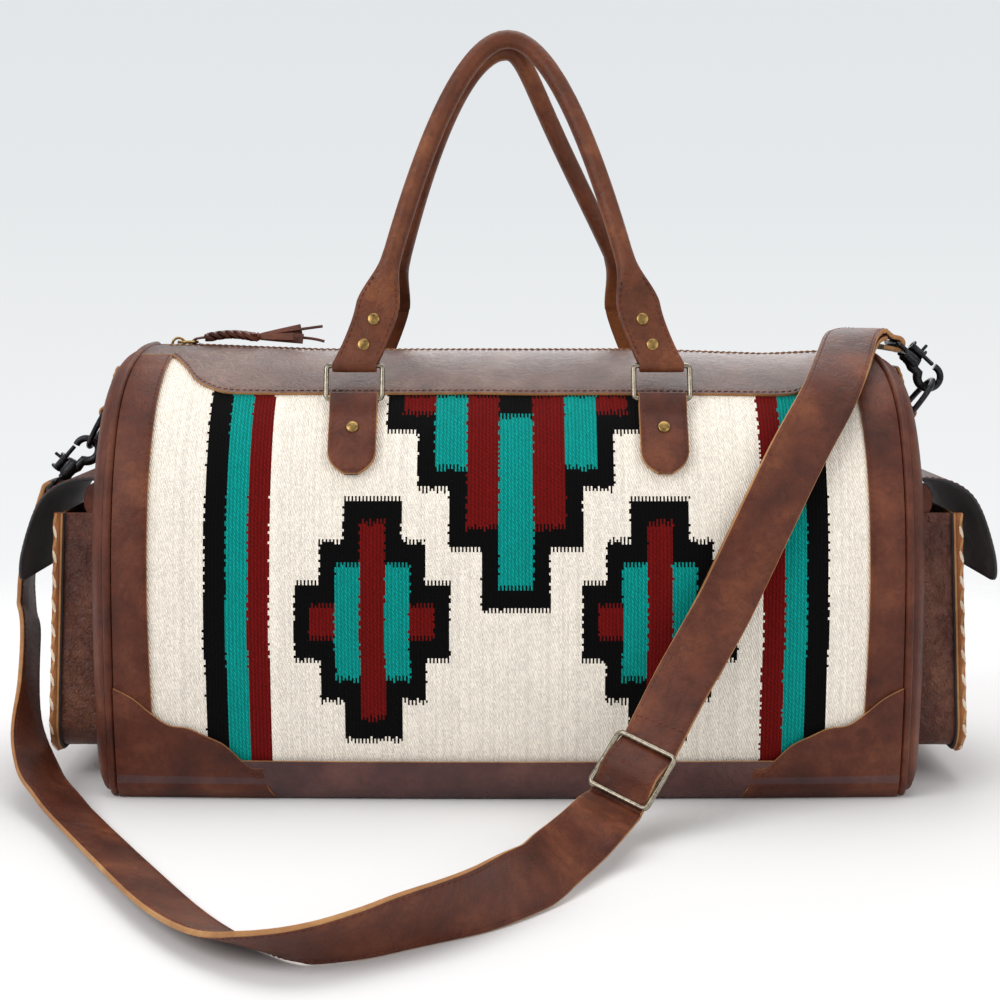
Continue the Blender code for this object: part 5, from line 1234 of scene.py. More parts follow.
# %% End panels and welts
END_BULGE, END_FLAT = 0.0147, 0.74
END_MIDDLE = (RIDGE_HEIGHT + BASE_HEIGHT) / 2
WELT_RADIUS = 0.0028
LOOP = [(FRONT, g) for g in np.linspace(RIDGE_GIRTH, 0, 73)]
LOOP += [(BACK, g) for g in np.linspace(0, RIDGE_GIRTH, 73)[1:-1]]


def end_pull(girth):
    """How far the end seam is drawn in near the ridge."""
    return RIDGE_END_PULL * drawn_in(girth) ** 2


def end_panel(end):
    """The bulging end, whose middle is flat behind the pocket."""
    middle = Vector((0, 0, END_MIDDLE))
    rows, bulge_rows = 34, 16

    def place(u, v):
        side, girth = LOOP[int(round(u * len(LOOP))) % len(LOOP)]
        row = int(round(v * rows))
        share = min(1.0, row / bulge_rows) ** 1.5
        scale = 1 - (1 - END_FLAT) * share
        if row > bulge_rows:
            scale = END_FLAT * (1 - (row - bulge_rows) / (rows - bulge_rows))
        depth, height = section_at(girth, CLOTH)
        height = max(height - ridge_sag(end * HALF_LENGTH, girth), LOWEST)
        start = HALF_LENGTH + SEAM_MARGIN - end_pull(girth)
        point = middle + (Vector((0, side * depth, height)) - middle) * scale
        flat_x = HALF_LENGTH + END_BULGE
        rise = math.sqrt(1 - (1 - share) ** 2)
        swell = 0.0005 * noise.noise(Vector((end * 3, point.y * 18, point.z * 18))) * min(1, share * 2)
        point.x = end * (start + (flat_x - start) * rise + swell * (1 - share))
        return point

    name = END_NAMES[end]
    made = grid_piece(f"{name}_end_leather", place, len(LOOP), rows, [body_leather], tube=True)
    if sum(face.normal.x * end for face in made.data.polygons) < 0:
        edit(made, bpy.ops.mesh.flip_normals)
    belongs(made, f"{name}_end_panel")


def welt(end):
    """The corded welt in the end seam."""
    line = []
    for side, girth in LOOP:
        depth, height = section_at(girth, CLOTH + GAP + 0.0008)
        height = max(height - ridge_sag(end * HALF_LENGTH, girth), LOWEST + WELT_RADIUS)
        line.append(Vector((end * (HALF_LENGTH - end_pull(girth)), side * depth, height)))
    name = END_NAMES[end]
    belongs(wire(f"{name}_welt", line, WELT_RADIUS, body_leather, closed=True), f"{name}_piping")


for end in (LEFT, RIGHT):
    end_panel(end)
    welt(end)

# %% Pockets
POCKET_HALF, POCKET_BOTTOM, POCKET_HEIGHT, POCKET_CORNER = 0.079, 0.0205, 0.161, 0.022
POCKET_DEPTHS = (0.0300, 0.0225)
POCKET_MIDDLE = POCKET_BOTTOM + POCKET_HEIGHT * 0.55
FACE_MARGIN = 0.003
POCKET_BACK = HALF_LENGTH + END_BULGE + GAP
POCKET_CORNER_STEPS, POCKET_SIDE_STEPS, POCKET_BASE_STEPS = 10, 16, 24


def pocket_line(inset):
    """(y, z) round the pocket's three sides, open at the top."""
    half, radius = POCKET_HALF - inset, POCKET_CORNER - inset
    bottom, top = POCKET_BOTTOM + inset, POCKET_BOTTOM + POCKET_HEIGHT
    corner_top, run = bottom + radius, half - radius
    points = [(-half, top + (corner_top - top) * k / POCKET_SIDE_STEPS) for k in range(POCKET_SIDE_STEPS)]
    for k in range(POCKET_CORNER_STEPS + 1):
        turn = math.radians(90 * k / POCKET_CORNER_STEPS)
        points.append((-half + radius - radius * math.cos(turn), corner_top - radius * math.sin(turn)))
    mirrored = [(-y, z) for y, z in reversed(points)]
    base = [(-run + 2 * run * k / POCKET_BASE_STEPS, bottom) for k in range(1, POCKET_BASE_STEPS)]
    return points + base + mirrored


def pocket_depth(z):
    """How far the pocket stands out at a height."""
    share = (z - POCKET_BOTTOM) / POCKET_HEIGHT
    return POCKET_DEPTHS[0] + (POCKET_DEPTHS[1] - POCKET_DEPTHS[0]) * share


def slump(y, z):
    """The soft gusset's small waves, in metres."""
    return 0.0007 * noise.noise(Vector((y * 30, z * 30, 5.0)))


def gusset_wall(end):
    """A pocket's gusset, a strip bent round its three sides."""
    name, outer, inner = END_NAMES[end], pocket_line(0.0), pocket_line(LEATHER)
    count, across = len(outer) - 1, 8
    around = 2 * (across + 1)

    def place(u, v):
        i, step = int(round(v * count)), int(round(u * around)) % around
        share = min(step, around - 1 - step) / across
        y, z = inner[i] if step > across else outer[i]
        wave = slump(y + end, z) * math.sin(math.pi * share)
        reach = POCKET_BACK + pocket_depth(outer[i][1]) * share
        return Vector((end * reach, y * (1 + wave * 4), z + wave * 0.5))

    wall = grid_piece(f"{name}_gusset", place, around, count, [grain_leather], tube=True, capped=True)
    belongs(round_edges(wall, 0.0004), f"{name}_pocket_wall")


def pocket_face(end):
    """A pocket's outer face, a little fuller in its middle."""
    name, low, high = END_NAMES[end], POCKET_BOTTOM - FACE_MARGIN, POCKET_BOTTOM + POCKET_HEIGHT
    face = flat_shape(f"{name}_pocket_front", [(0, y, z) for y, z in pocket_line(-FACE_MARGIN)])
    edit(face, lambda: slice_up(2, low, high, 16), lambda: slice_up(1, -POCKET_HALF, POCKET_HALF, 14))
    face.data.materials.append(body_leather)
    face.data.materials.append(cut_edge)
    for vert in face.data.vertices:
        y, z = vert.co.y, vert.co.z
        inside = max(0.0, 1 - (abs(y) / POCKET_HALF) ** 4)
        inside *= max(0.0, math.sin(math.pi * (z - low) / (high - low)))
        vert.co.x = end * (POCKET_BACK + pocket_depth(z) + GAP + LEATHER + 0.0006 * inside)
    belongs(thicken(face, face.data.polygons[0].normal.x * end), f"{name}_pocket_face")


def pocket_rim(end, margin, lift):
    """A line round a pocket's outer edge, lifted off its gusset."""
    return [Vector((end * (POCKET_BACK + pocket_depth(z) + GAP + lift), y, z))
            for y, z in pocket_line(-margin)]


LACE_PITCH, LACE_LENGTH, LACE_WIDTH, LACE_THICK = 0.0083, 0.0098, 0.0031, 0.0013


def pocket_edge(end):
    """The bead, painted dark grey as shade in the seam, and the binding round a pocket's edge, laced by turns
    in pale and tan.
    """
    name = END_NAMES[end]
    belongs(wire(f"{name}_pocket_shade_bead", pocket_rim(end, FACE_MARGIN * 0.4, 0), 0.0011, shade_grey_leather), None)
    rim = pocket_rim(end, FACE_MARGIN * 0.25, 0.0034)
    belongs(wire(f"{name}_pocket_binding", rim, 0.0030, lace_tan, sides=5), None)
    tan, pale = [], []
    for k, (place, along) in enumerate(spaced(rim, LACE_PITCH)):
        out = Vector((0, place.y, place.z - POCKET_MIDDLE)).normalized()
        out = (out - along * out.dot(along) + Vector((end * 0.55, 0, 0))).normalized()
        lean = (along + out.cross(along) * (0.35 if k % 2 else -0.35)).normalized()
        width = lean.cross(out).normalized() * LACE_WIDTH
        (pale if k % 2 else tan).append((place + out * 0.0028, lean * LACE_LENGTH, width, out * LACE_THICK))
    belongs(repeats(f"{name}_pocket_lacing", bead(), pale, lace_light), None)
    belongs(repeats(f"{name}_pocket_lacing_tan", bead(), tan, cut_edge), None)


def pocket(end):
    """A box pocket; returns its two seams, round the gusset's back edge and across the top."""
    gusset_wall(end)
    pocket_face(end)
    pocket_edge(end)
    seam = [Vector((end * (POCKET_BACK + 0.0030), y, z)) for y, z in pocket_line(-THREAD_LIFT)]
    outs = [Vector((0, y, z - POCKET_MIDDLE)).normalized() for y, z in pocket_line(0)]
    high = POCKET_BOTTOM + POCKET_HEIGHT
    reach = POCKET_BACK + pocket_depth(high - 0.003) + GAP + LEATHER + THREAD_LIFT
    half = POCKET_HALF - 0.004
    top = [Vector((end * reach, y, high - 0.0026)) for y in np.linspace(-half, half, 20)]
    return [(seam, outs), (top, [X_AXIS * end] * 20)]


pocket_seams = []
for end in (LEFT, RIGHT):
    pocket_seams += pocket(end)

# %% Flaps
FLAP_HALF, FLAP_ROUND = 0.079, 0.020
FLAP_HINGE = Vector((HALF_LENGTH + END_BULGE + 0.0008, 0, 0.2035))
FLAP_CURL = [(0.0, 0.0), (0.008, 0.0), (0.018, -0.0012), (0.0275, -0.0050), (0.0355, -0.0115),
             (0.0415, -0.0210), (0.0465, -0.0340), (0.0505, -0.0475), (0.0532, -0.0600), (0.0545, -0.0665),
             (0.0547, -0.0695)]
FLAP_SEAM, STUD_STATION, STUD_SPREAD = 0.0028, 24, 0.048


def flap(end):
    """The curled flap over a pocket, its underside and edges painted dark grey as shade, with its two covered
    studs.
    """
    name = END_NAMES[end]
    line = curved([FLAP_HINGE + Vector((a, 0, b)) for a, b in FLAP_CURL], 4)
    gone = reached(line)
    stations = []
    for i, point in enumerate(line):
        tangent = tangent_at(line, i)
        left = min(gone[-1] - gone[i], FLAP_ROUND)
        shrink = (FLAP_ROUND - math.sqrt(max(FLAP_ROUND ** 2 - (FLAP_ROUND - left) ** 2, 0))) * 0.9
        centre, normal = Vector((end * point.x, 0, point.z)), Vector((-end * tangent.z, 0, tangent.x))
        stations.append((centre, Y_AXIS, normal, FLAP_HALF - shrink, LEATHER / 2))
    # The flap's underside and edges take the dark grey of painted shade.
    made = ribbon(f"{name}_flap_leather", stations, [body_leather, shade_grey_leather, shade_grey_leather],
                  flat_steps=14)
    body = "right_flap" if end == RIGHT else "bag"
    centre, _, normal, _, thick = stations[STUD_STATION]
    studs = []
    for aside in (-STUD_SPREAD, STUD_SPREAD):
        place = centre + Y_AXIS * aside + normal * thick
        studs.append(rivet(f"stud_{len(studs)}", place, normal, 0.0085, 0.0028, body_leather))
    studs = join(f"{name}_flap_studs", studs)
    seam, outs = [], []
    for side, steps in ((-1, range(2, len(stations) - 1)), (1, range(len(stations) - 2, 1, -1))):
        for i in steps:
            centre, across, normal, half, thick = stations[i]
            seam.append(centre + across * (side * (half - FLAP_SEAM)) + normal * (thick + THREAD_LIFT))
            outs.append(normal)
    sewn = stitches(f"{name}_flap_stitching", [(seam, outs)])
    belongs(made, f"{name}_flap", body=body)
    belongs(studs, None, body=body)
    belongs(sewn, None, body=body)


FLAP_ROOT = [(-0.0006, -0.0022), (0.0012, -0.0022), (0.0056, -0.0038), (0.0090, -0.0084), (0.0099, -0.0140),
             (0.0096, -0.0190), (0.0074, -0.0236), (0.0042, -0.0262), (0.0012, -0.0271), (-0.0006, -0.0271)]


def flap_root(end):
    """The folded root that a flap rises from, sewn down the wall to the back of its pocket."""
    section = curved([FLAP_HINGE + Vector((a, 0, b)) for a, b in FLAP_ROOT], 3)
    section += [section[0] + (section[-1] - section[0]) * (k / 5) for k in range(4, 0, -1)]

    def place(u, v):
        point = section[int(round(u * len(section))) % len(section)]
        tuck = 0.0012 * max(0.0, abs(2 * v - 1) - 0.97) / 0.03
        return Vector((end * (point.x - tuck), (FLAP_HALF - 0.0015) * (2 * v - 1), point.z))

    made = grid_piece(f"{END_NAMES[end]}_flap_root", place, len(section), 66, [body_leather], tube=True,
                      capped=True)
    belongs(round_edges(made, 0.0005), None)


for end in (LEFT, RIGHT):
    flap(end)
    flap_root(end)
belongs(stitches("pocket_stitching", pocket_seams), None)

# %% [markdown]
# ## Handles, rings and tabs
# Each handle is rolled from one hide and closed by a sewn seam along its inner side. Its flat ends go
# round the upper bar of a wire ring and are riveted twice. A riveted tab ties the ring to the bag.

# %% Handle sizes
HANDLE_SPREAD, HANDLE_TUBE, HANDLE_TOP = 0.100, 0.0062, 0.501
HANDLE_END, HANDLE_PLY = 0.029, 0.0022
RING_WIDTH, RING_HEIGHT, RING_WIRE, RING_PLAY = 0.040, 0.026, 0.00175, 0.0005
RING_PITCH = RING_HEIGHT - 2 * RING_WIRE
TAB_WIDTH, TAB_LENGTH, TAB_PLY = 0.031, 0.055, 0.002
TAB_LEVEL = CLOTH + 3 * GAP
LOOP_RADIUS = RING_WIRE + RING_PLAY
BAR_OFFSET = TAB_LEVEL + TAB_PLY + LOOP_RADIUS
BAR_Y, BAR_Z = 0.09243, 0.25753
ARCH_HALF, ARCH_DROP, ARCH_POWER, ARCH_ROUND = 0.0902, 0.2093, 1.9, 0.013
PLY_LOOP, PLY_LEVEL = LOOP_RADIUS + HANDLE_PLY / 2, HANDLE_PLY / 2 + GAP / 2
HANDLE_RIVETS = (0.0135, 0.031)


def handle_frame(side):
    """The lower bars' middle, the direction to the handle's top, and its outer normal."""
    bar = Vector((0, side * BAR_Y, BAR_Z))
    rise = Vector((0, side * (HANDLE_TUBE + 0.0006), HANDLE_TOP - HANDLE_TUBE)) - bar
    reach = rise.length
    rise.normalize()
    return bar, rise, Vector((0, side * rise.z, -side * rise.y)), reach


def tab_line(side, end):
    """Places and outward directions along a tab: up behind, round the bar, and down in front."""
    near = np.arange(girth_at(0.24), girth_at(0.275), 2e-4)
    girth = min((abs(section_at(g, BAR_OFFSET)[1] - BAR_Z), g) for g in near)[1]
    x = end * HANDLE_SPREAD
    back_level = TAB_LEVEL + TAB_PLY / 2
    front_level = back_level + TAB_PLY + GAP
    girths = np.linspace(girth - TAB_LENGTH + 0.003, girth - 0.003, 22)
    points = [wrap(x, g, back_level, side) for g in girths]
    wishes = [-outward(x, g, side) for g in girths]
    out = -wishes[-1]
    lift = Vector((0, -side * out.z, side * out.y))
    lift = lift if lift.z > 0 else -lift
    centre = Vector((x, side * BAR_Y, BAR_Z))
    radius = LOOP_RADIUS + TAB_PLY / 2
    for k in range(1, 14):
        turn = math.radians(-90 + 180 * k / 14)
        spoke = out * math.sin(turn) + lift * math.cos(turn)
        points.append(centre + spoke * radius)
        wishes.append(spoke)
    for g in reversed(girths[:-1]):
        ease = eased(max(0.0, 1 - (girth - g) / 0.014))
        points.append(wrap(x, g, front_level + (BAR_OFFSET + radius - front_level) * ease, side))
        wishes.append(outward(x, g, side))
    return points, wishes


TAB_SEAM, TAB_RIVET_HEIGHT = 0.0024, 0.2405


def tab(side, end):
    """The tab and its rivet; returns its seam."""
    points, wishes = tab_line(side, end)
    gone = reached(points)
    half = TAB_WIDTH / 2
    stations = []
    for i, (point, reach) in enumerate(zip(points, gone)):
        left = min(reach, gone[-1] - reach, half)
        width = math.sqrt(max(half ** 2 - (half - left) ** 2, (0.30 * half) ** 2))
        normal = tangent_at(points, i).cross(X_AXIS).normalized()
        if normal.dot(wishes[i]) < 0:
            normal.negate()
        stations.append((point, X_AXIS, normal, width, TAB_PLY / 2))
    name = corner_name(side, end)
    made = ribbon(f"{name}_tab_leather", stations, [body_leather, cut_edge, body_leather], flat_steps=8)
    belongs(made, f"{name}_tab")
    front = stations[len(stations) // 2 + 8:-1]
    seam, outs = [], []
    for sign, run in ((-1, front), (1, list(reversed(front)))):
        for centre, across, normal, width, thick in run:
            seam.append(centre + across * (sign * (width - TAB_SEAM)) + normal * (thick + THREAD_LIFT))
            outs.append(normal)
    head_at = min(stations[len(stations) // 2:], key=lambda s: abs(s[0].z - TAB_RIVET_HEIGHT))
    head = rivet(f"{name}_tab_rivet", head_at[0] + head_at[2] * head_at[4], head_at[2])
    belongs(head, None)
    return seam, outs


def leg_x(b, apex):
    """The half spread of a handle's leg at a height above the upper bars."""
    drop = max((apex - b) / ARCH_DROP, 0.0)
    return ARCH_HALF * drop ** (1 / ARCH_POWER) + 0.0092 * max(0.0, 1 - b / 0.035) ** 1.5 * 0.55


def handle_stations(side, origin, apex, rise, out):
    """Stations along a handle (place, across, normal, half sizes, squareness) and its rivets' places."""
    flat = (HANDLE_END / 2, HANDLE_PLY / 2, 0.3)

    def place(a, b, n):
        return origin + X_AXIS * a + rise * b + out * n

    def end_run(end):
        found = []
        for b in np.linspace(0.036, 0.006, 9):
            level = PLY_LEVEL + (PLY_LOOP - PLY_LEVEL) * max(0.0, 1 - b / 0.015)
            found.append((place(end * leg_x(b, apex), b, -level), -out, *flat))
        for k in range(13):
            turn = math.radians(-90 - 180 * k / 12)
            spoke = rise * math.cos(turn) + out * math.sin(turn)
            found.append((place(end * HANDLE_SPREAD, 0, 0) + spoke * PLY_LOOP, spoke, *flat))
        for b in np.linspace(0.006, 0.038, 10):
            level = PLY_LEVEL + (PLY_LOOP - PLY_LEVEL) * max(0.0, 1 - b / 0.015)
            found.append((place(end * leg_x(b, apex), b, level), out, *flat))
        for t in np.linspace(0.08, 1, 14):
            ease, b = eased(t), 0.038 + 0.036 * t
            found.append((place(end * leg_x(b, apex), b, PLY_LEVEL * (1 - ease)), out,
                          HANDLE_END / 2 + (HANDLE_TUBE * 1.08 - HANDLE_END / 2) * ease,
                          HANDLE_PLY / 2 + (HANDLE_TUBE - HANDLE_PLY / 2) * ease, 0.3 + 0.7 * ease))
        return found

    arch = []
    limit = ARCH_HALF * ((apex - 0.080) / ARCH_DROP) ** (1 / ARCH_POWER)
    lean, lift_by = (-0.0125, -0.0035) if side == BACK else (0.0, 0.0030)

    def fall(a):
        return ((a / ARCH_HALF) ** 2 + (ARCH_ROUND / ARCH_HALF) ** 2) ** (ARCH_POWER / 2) \
            - (ARCH_ROUND / ARCH_HALF) ** ARCH_POWER

    excess = fall(limit) - (limit / ARCH_HALF) ** ARCH_POWER
    for share in np.linspace(-1, 1, 61):
        a = limit * math.copysign(abs(share) ** 0.8, share)
        b = apex + lift_by * (1 - share ** 2) - ARCH_DROP * (fall(a) - excess * (a / limit) ** 2)
        sway = lean * math.sin(math.pi * max(0.0, share)) + lean * 0.1 * (1 - share ** 2)
        arch.append((place(a + sway, b, 0), out, HANDLE_TUBE * 1.04, HANDLE_TUBE, 1.0))
    rough = end_run(LEFT) + arch + list(reversed(end_run(RIGHT)))
    places = [row[0] for row in rough]
    stations = []
    for i, (point, normal, width, thick, power) in enumerate(rough):
        tangent = tangent_at(places, i)
        across = tangent.cross(normal).normalized()
        if power < 0.31:
            across = X_AXIS * (1 if across.x > 0 else -1)
        if i:
            normal = across.cross(tangent).normalized()
        stations.append((point, across, normal, width, thick, power))
    heads = [place(end * leg_x(b, apex), b, PLY_LEVEL + HANDLE_PLY / 2)
             for end in (LEFT, RIGHT) for b in HANDLE_RIVETS]
    return stations, heads


def handle(side):
    """A rolled handle, its seams and its rivets."""
    bar, rise, out, reach = handle_frame(side)
    origin = bar + rise * RING_PITCH
    stations, heads = handle_stations(side, origin, reach - RING_PITCH, rise, out)

    def shape(u, v):
        point, across, normal, width, thick, power = stations[int(round(v * (len(stations) - 1)))]
        turn = 2 * math.pi * u
        c, s = math.cos(turn), math.sin(turn)
        c, s = math.copysign(abs(c) ** power, c), math.copysign(abs(s) ** power, s)
        return point + across * (c * width) + normal * (s * thick)

    name = f"{SIDE_NAMES[side]}_handle"
    made = grid_piece(f"{name}_leather", shape, 24, len(stations) - 1, [handle_leather], tube=True,
                      capped=True)
    belongs(made, name, body=name)
    seam, outs = [], []
    middle = origin + rise * 0.09
    for point, across, normal, *_ in stations[40:-40]:
        inner = middle - point
        inner = (inner - normal * inner.dot(normal)).normalized()
        spoke = across if across.dot(inner) > 0 else -across
        spoke = (spoke * 0.80 + normal * 0.60).normalized()
        seam.append(point + (spoke * HANDLE_TUBE * 1.03))
        outs.append(spoke)
    seams = [(seam, outs)]
    for run in (stations[22:40], stations[-40:-22]):
        for sign in (-1, 1):
            edge = [p + a * (sign * (w - TAB_SEAM)) + n * (t + THREAD_LIFT) for p, a, n, w, t, _ in run]
            seams.append((edge, [row[2] for row in run]))
    belongs(stitches(f"{name}_stitching", seams), None, body=name)
    heads = [rivet(f"head_{k}", centre, out) for k, centre in enumerate(heads)]
    belongs(join(f"{name}_rivets", heads), None, body=name)


def ring(side, end):
    """A rectangular wire ring, its lower bar in the tab."""
    bar, rise = handle_frame(side)[:2]
    centre = X_AXIS * (end * HANDLE_SPREAD) + bar
    line = [centre + p for p in rounded_loop(RING_WIDTH - 2 * RING_WIRE, RING_PITCH, 0.0026, X_AXIS, rise)]
    name = f"{corner_name(side, end)}_ring"
    made = wire(f"{name}_wire", line, RING_WIRE, aged_nickel, closed=True)
    belongs(made, name, body=f"{SIDE_NAMES[side]}_rings")


tab_seams = []
for side in (FRONT, BACK):
    handle(side)
    for end in (LEFT, RIGHT):
        tab_seams.append(tab(side, end))
        ring(side, end)
belongs(stitches("tab_stitching", tab_seams), None)
print("handles done")

# %% [markdown]
# ## Feet, zip and pull
# Four turned feet keep the base off the ground. The zip's metal teeth mesh along the ridge under a brass
# slider, whose ring carries a plaited leather pull with a fringe.

# %% Feet
FOOT_RADIUS, FOOT_TOP, FOOT_X, FOOT_Y = 0.0085, 0.0059, 0.2115, 0.092
FOOT_PROFILE = [(FOOT_RADIUS * share, height) for share, height in
                ((0.0, 0.0), (0.50, 0.0), (0.66, 0.0002), (0.80, 0.0009), (0.92, 0.0020), (0.985, 0.0031),
                 (1.0, 0.0037), (1.0, 0.0045), (0.95, 0.0048), (0.90, 0.0049), (0.90, FOOT_TOP),
                 (0.0, FOOT_TOP))]

for side in (FRONT, BACK):
    for end in (LEFT, RIGHT):
        name = f"{corner_name(side, end)}_foot"
        stud = lathe(f"{name}_stud", FOOT_PROFILE, (end * FOOT_X, side * FOOT_Y, 0), (0, 0, 1), aged_brass,
                     segments=36)
        belongs(stud, name)

# %% Base and lining
BASE_LOW = CLOTH + GAP
base_rows = [[wrap(x, CORNER_GIRTH - GAP, lift, side) for side, lift in
              ((FRONT, BASE_LOW), (BACK, BASE_LOW), (BACK, BASE_LOW + LEATHER), (FRONT, BASE_LOW + LEATHER))]
             for x in np.linspace(-TRIM_EDGE, TRIM_EDGE, 60)]


def base_point(u, v):
    """Round the base panel's section: under it, then back above it."""
    row = base_rows[int(round(v * 59))]
    step = int(round(u * 48)) % 48
    first, last = (row[0], row[1]) if step < 24 else (row[2], row[3])
    return first.lerp(last, (step % 24) / 23)


belongs(grid_piece("base_leather", base_point, 48, 59, [body_leather], tube=True, capped=True), "base_panel")

LINING_LIFT, LINING_END = -0.0008, HALF_LENGTH - 0.006
LINING_OPEN = float(RIDGE_GIRTH) - 0.020
lining_loop = [(FRONT, g) for g in np.linspace(LINING_OPEN, 0, 70)]
lining_loop += [(BACK, g) for g in np.linspace(0, LINING_OPEN, 70)[1:]]


def lining_point(u, v):
    """The lining's long wall, which gathers softly where it hangs loose."""
    side, girth = lining_loop[int(round(u * (len(lining_loop) - 1)))]
    x = LINING_END * (2 * v - 1)
    gather = max(0.0, noise.noise(Vector((x * 22, girth * 8, side * 2.0)))) * min(1.0, (girth / 0.10) ** 2)
    return wrap(x, girth, LINING_LIFT - 0.0012 * gather, side)


def lining_end(end):
    """The lining's end wall: rows between its front and back edges at each height."""
    edge = np.linspace(0.004, LINING_OPEN, 70)

    def place(u, v):
        girth = edge[int(round(v * 69))]
        front, back = (wrap(end * LINING_END, girth, LINING_LIFT, side) for side in (FRONT, BACK))
        point = front.lerp(back, u)
        point.x -= end * 0.002 * math.sin(math.pi * u) * (0.5 + noise.noise(point * 20))
        return point

    return grid_piece(f"{END_NAMES[end]}_lining_end", place, 30, 69, [lining_cloth])


lining_wall = grid_piece("lining_wall", lining_point, len(lining_loop) - 1, 80, [lining_cloth])
lining = join("lining_cloth", [lining_wall, lining_end(LEFT), lining_end(RIGHT)])
edit(lining, weld)
modify(lining, "SOLIDIFY", thickness=0.0006, offset=0)
belongs(smooth(lining), "lining")

# %% Zip
ZIP_HALF, TAPE_HALF, TAPE_THICK, TOOTH_REACH = 0.236, 0.018, 0.0010, 0.0017
TOOTH_STEP = 0.0030
TOOTH_LENGTH, TOOTH_WIDTH, TOOTH_HEIGHT = 0.0014, 0.0036, 0.0020


def zip_tape(side):
    """A woven tape with a corded edge that carries the teeth."""
    low, high = float(RIDGE_GIRTH) - TAPE_HALF, float(RIDGE_GIRTH) - TOOTH_REACH * 0.7

    def place(u, v):
        step = int(round(u * 22)) % 22
        girth = low + (high - low) * ((step / 10) if step <= 10 else (21 - step) / 10)
        level = CLOTH - 0.0004 - (TAPE_THICK if step > 10 else 0)
        return wrap(ZIP_HALF * (2 * v - 1), girth, level, side)

    name = SIDE_NAMES[side]
    tape = grid_piece("tape", place, 22, 160, [tape_cloth], tube=True, capped=True)
    cord_line = [wrap(x, high, CLOTH - 0.0006, side) for x in np.linspace(-ZIP_HALF, ZIP_HALF, 120)]
    made = join(f"{name}_zip_cloth", [tape, wire("tape_cord", cord_line, 0.0007, tape_cloth)])
    belongs(made, f"{name}_zip_tape")
    sizes = X_AXIS * TOOTH_LENGTH, Y_AXIS * (side * TOOTH_WIDTH), Vector((0, 0, TOOTH_HEIGHT))
    frames = []
    for k in range(int(2 * ZIP_HALF / TOOTH_STEP) - 1):
        x = -ZIP_HALF + TOOTH_STEP * (k + 0.75 + (0.5 if side == BACK else 0.0))
        spot = wrap(x, float(RIDGE_GIRTH) - 0.0008, CLOTH - 0.0002, side)
        spot.y = side * 0.0007
        frames.append((spot, *sizes))
    bpy.ops.mesh.primitive_cube_add(size=1)
    tooth = modify(bpy.context.object, "BEVEL", width=0.14, segments=2)
    belongs(repeats(f"{name}_zip_teeth", tooth, frames, aged_brass), None)


for side in (FRONT, BACK):
    zip_tape(side)

# %% Slider and pull
SLIDER_HALF, SLIDER_WIDE, SLIDER_THICK = 0.007, 0.0055, 0.0018
SLIDER_X, SLIDER_TOP = -0.2290, RIDGE_HEIGHT + CLOTH + GAP + SLIDER_THICK
PULL_AXIS = Vector((SLIDER_X, 0, SLIDER_TOP + 0.00135))
PULL_RADIUS, PULL_WIRE = 0.0065, 0.001
SLIDER_PLAN = [(-1, -0.55), (-0.6, -1), (0.6, -1), (1, -0.75), (1, 0.75), (0.6, 1), (-0.6, 1), (-1, 0.55)]
plan = [(p.x, p.y) for p in curved([(a, b, 0) for a, b in SLIDER_PLAN], 5, closed=True)]
SLIDER_LAYERS = ((0.0, 0.0), (0.0, 0.985), (0.0004, 1.0), (0.0011, 1.0), (0.0015, 0.96),
                 (SLIDER_THICK, 0.86), (SLIDER_THICK, 0.0))


def slider_point(u, v):
    """Layers of the slider's upper plate, each a copy of its plan."""
    lift, share = SLIDER_LAYERS[int(round(v * (len(SLIDER_LAYERS) - 1)))]
    a, b = plan[int(round(u * len(plan))) % len(plan)]
    low = SLIDER_TOP - SLIDER_THICK
    return Vector((SLIDER_X + a * SLIDER_HALF * share, b * SLIDER_WIDE * share, low + lift))


bridge = [Vector((SLIDER_X - 0.0045 * math.cos(turn), 0, SLIDER_TOP - 0.0005 + 0.0047 * math.sin(turn)))
          for turn in np.linspace(0, math.pi, 21)]
belongs(join("zip_slider_body", [grid_piece("plate", slider_point, len(plan), 6, [aged_brass], tube=True),
                                 wire("bridge", bridge, 0.0009, aged_brass, sides=5)]),
        "zip_slider", body="zip_slider")
loop_centre = PULL_AXIS + Vector((PULL_RADIUS, 0, 0))
pull_loop = [loop_centre + Vector((-PULL_RADIUS * math.cos(turn), PULL_RADIUS * 0.8 * math.sin(turn), 0))
             for turn in np.linspace(0, 2 * math.pi, 49)[:-1]]
pull_ring = wire("zip_pull_wire", pull_loop, PULL_WIRE, aged_brass, closed=True, sides=5)
belongs(pull_ring, "zip_pull_ring", body="zip_pull")

# %% The plaited pull
PLAIT_START = PULL_AXIS + Vector((2 * PULL_RADIUS, 0, 0))
PLAIT_LENGTH, PLAIT_HALF, PLAIT_TURNS = 0.034, 0.0044, 2.0
FRINGE = ((0.031, 0.0035, 0.0056, 0.0038, 1.0), (0.033, -0.0050, -0.0012, 0.0038, 1.2),
          (0.026, 0.0090, 0.0022, 0.0030, 1.4), (0.027, -0.0095, 0.0004, 0.0030, 1.4),
          (0.046, 0.0010, 0.0074, 0.0009, 0.8), (0.0475, -0.0025, -0.0030, 0.0009, 5.0))


def thong(points, half_widths, thick, up=(0, 0, 1)):
    """A thin thong along points, with a half width for each."""
    stations = []
    for i, (point, half) in enumerate(zip(points, half_widths)):
        tangent = tangent_at(points, i)
        across = tangent.cross(Vector(up)).normalized()
        stations.append((point, across, across.cross(tangent).normalized(), half, thick / 2))
    return ribbon("thong", stations, [strap_leather], corner=0.0004, flat_steps=3)


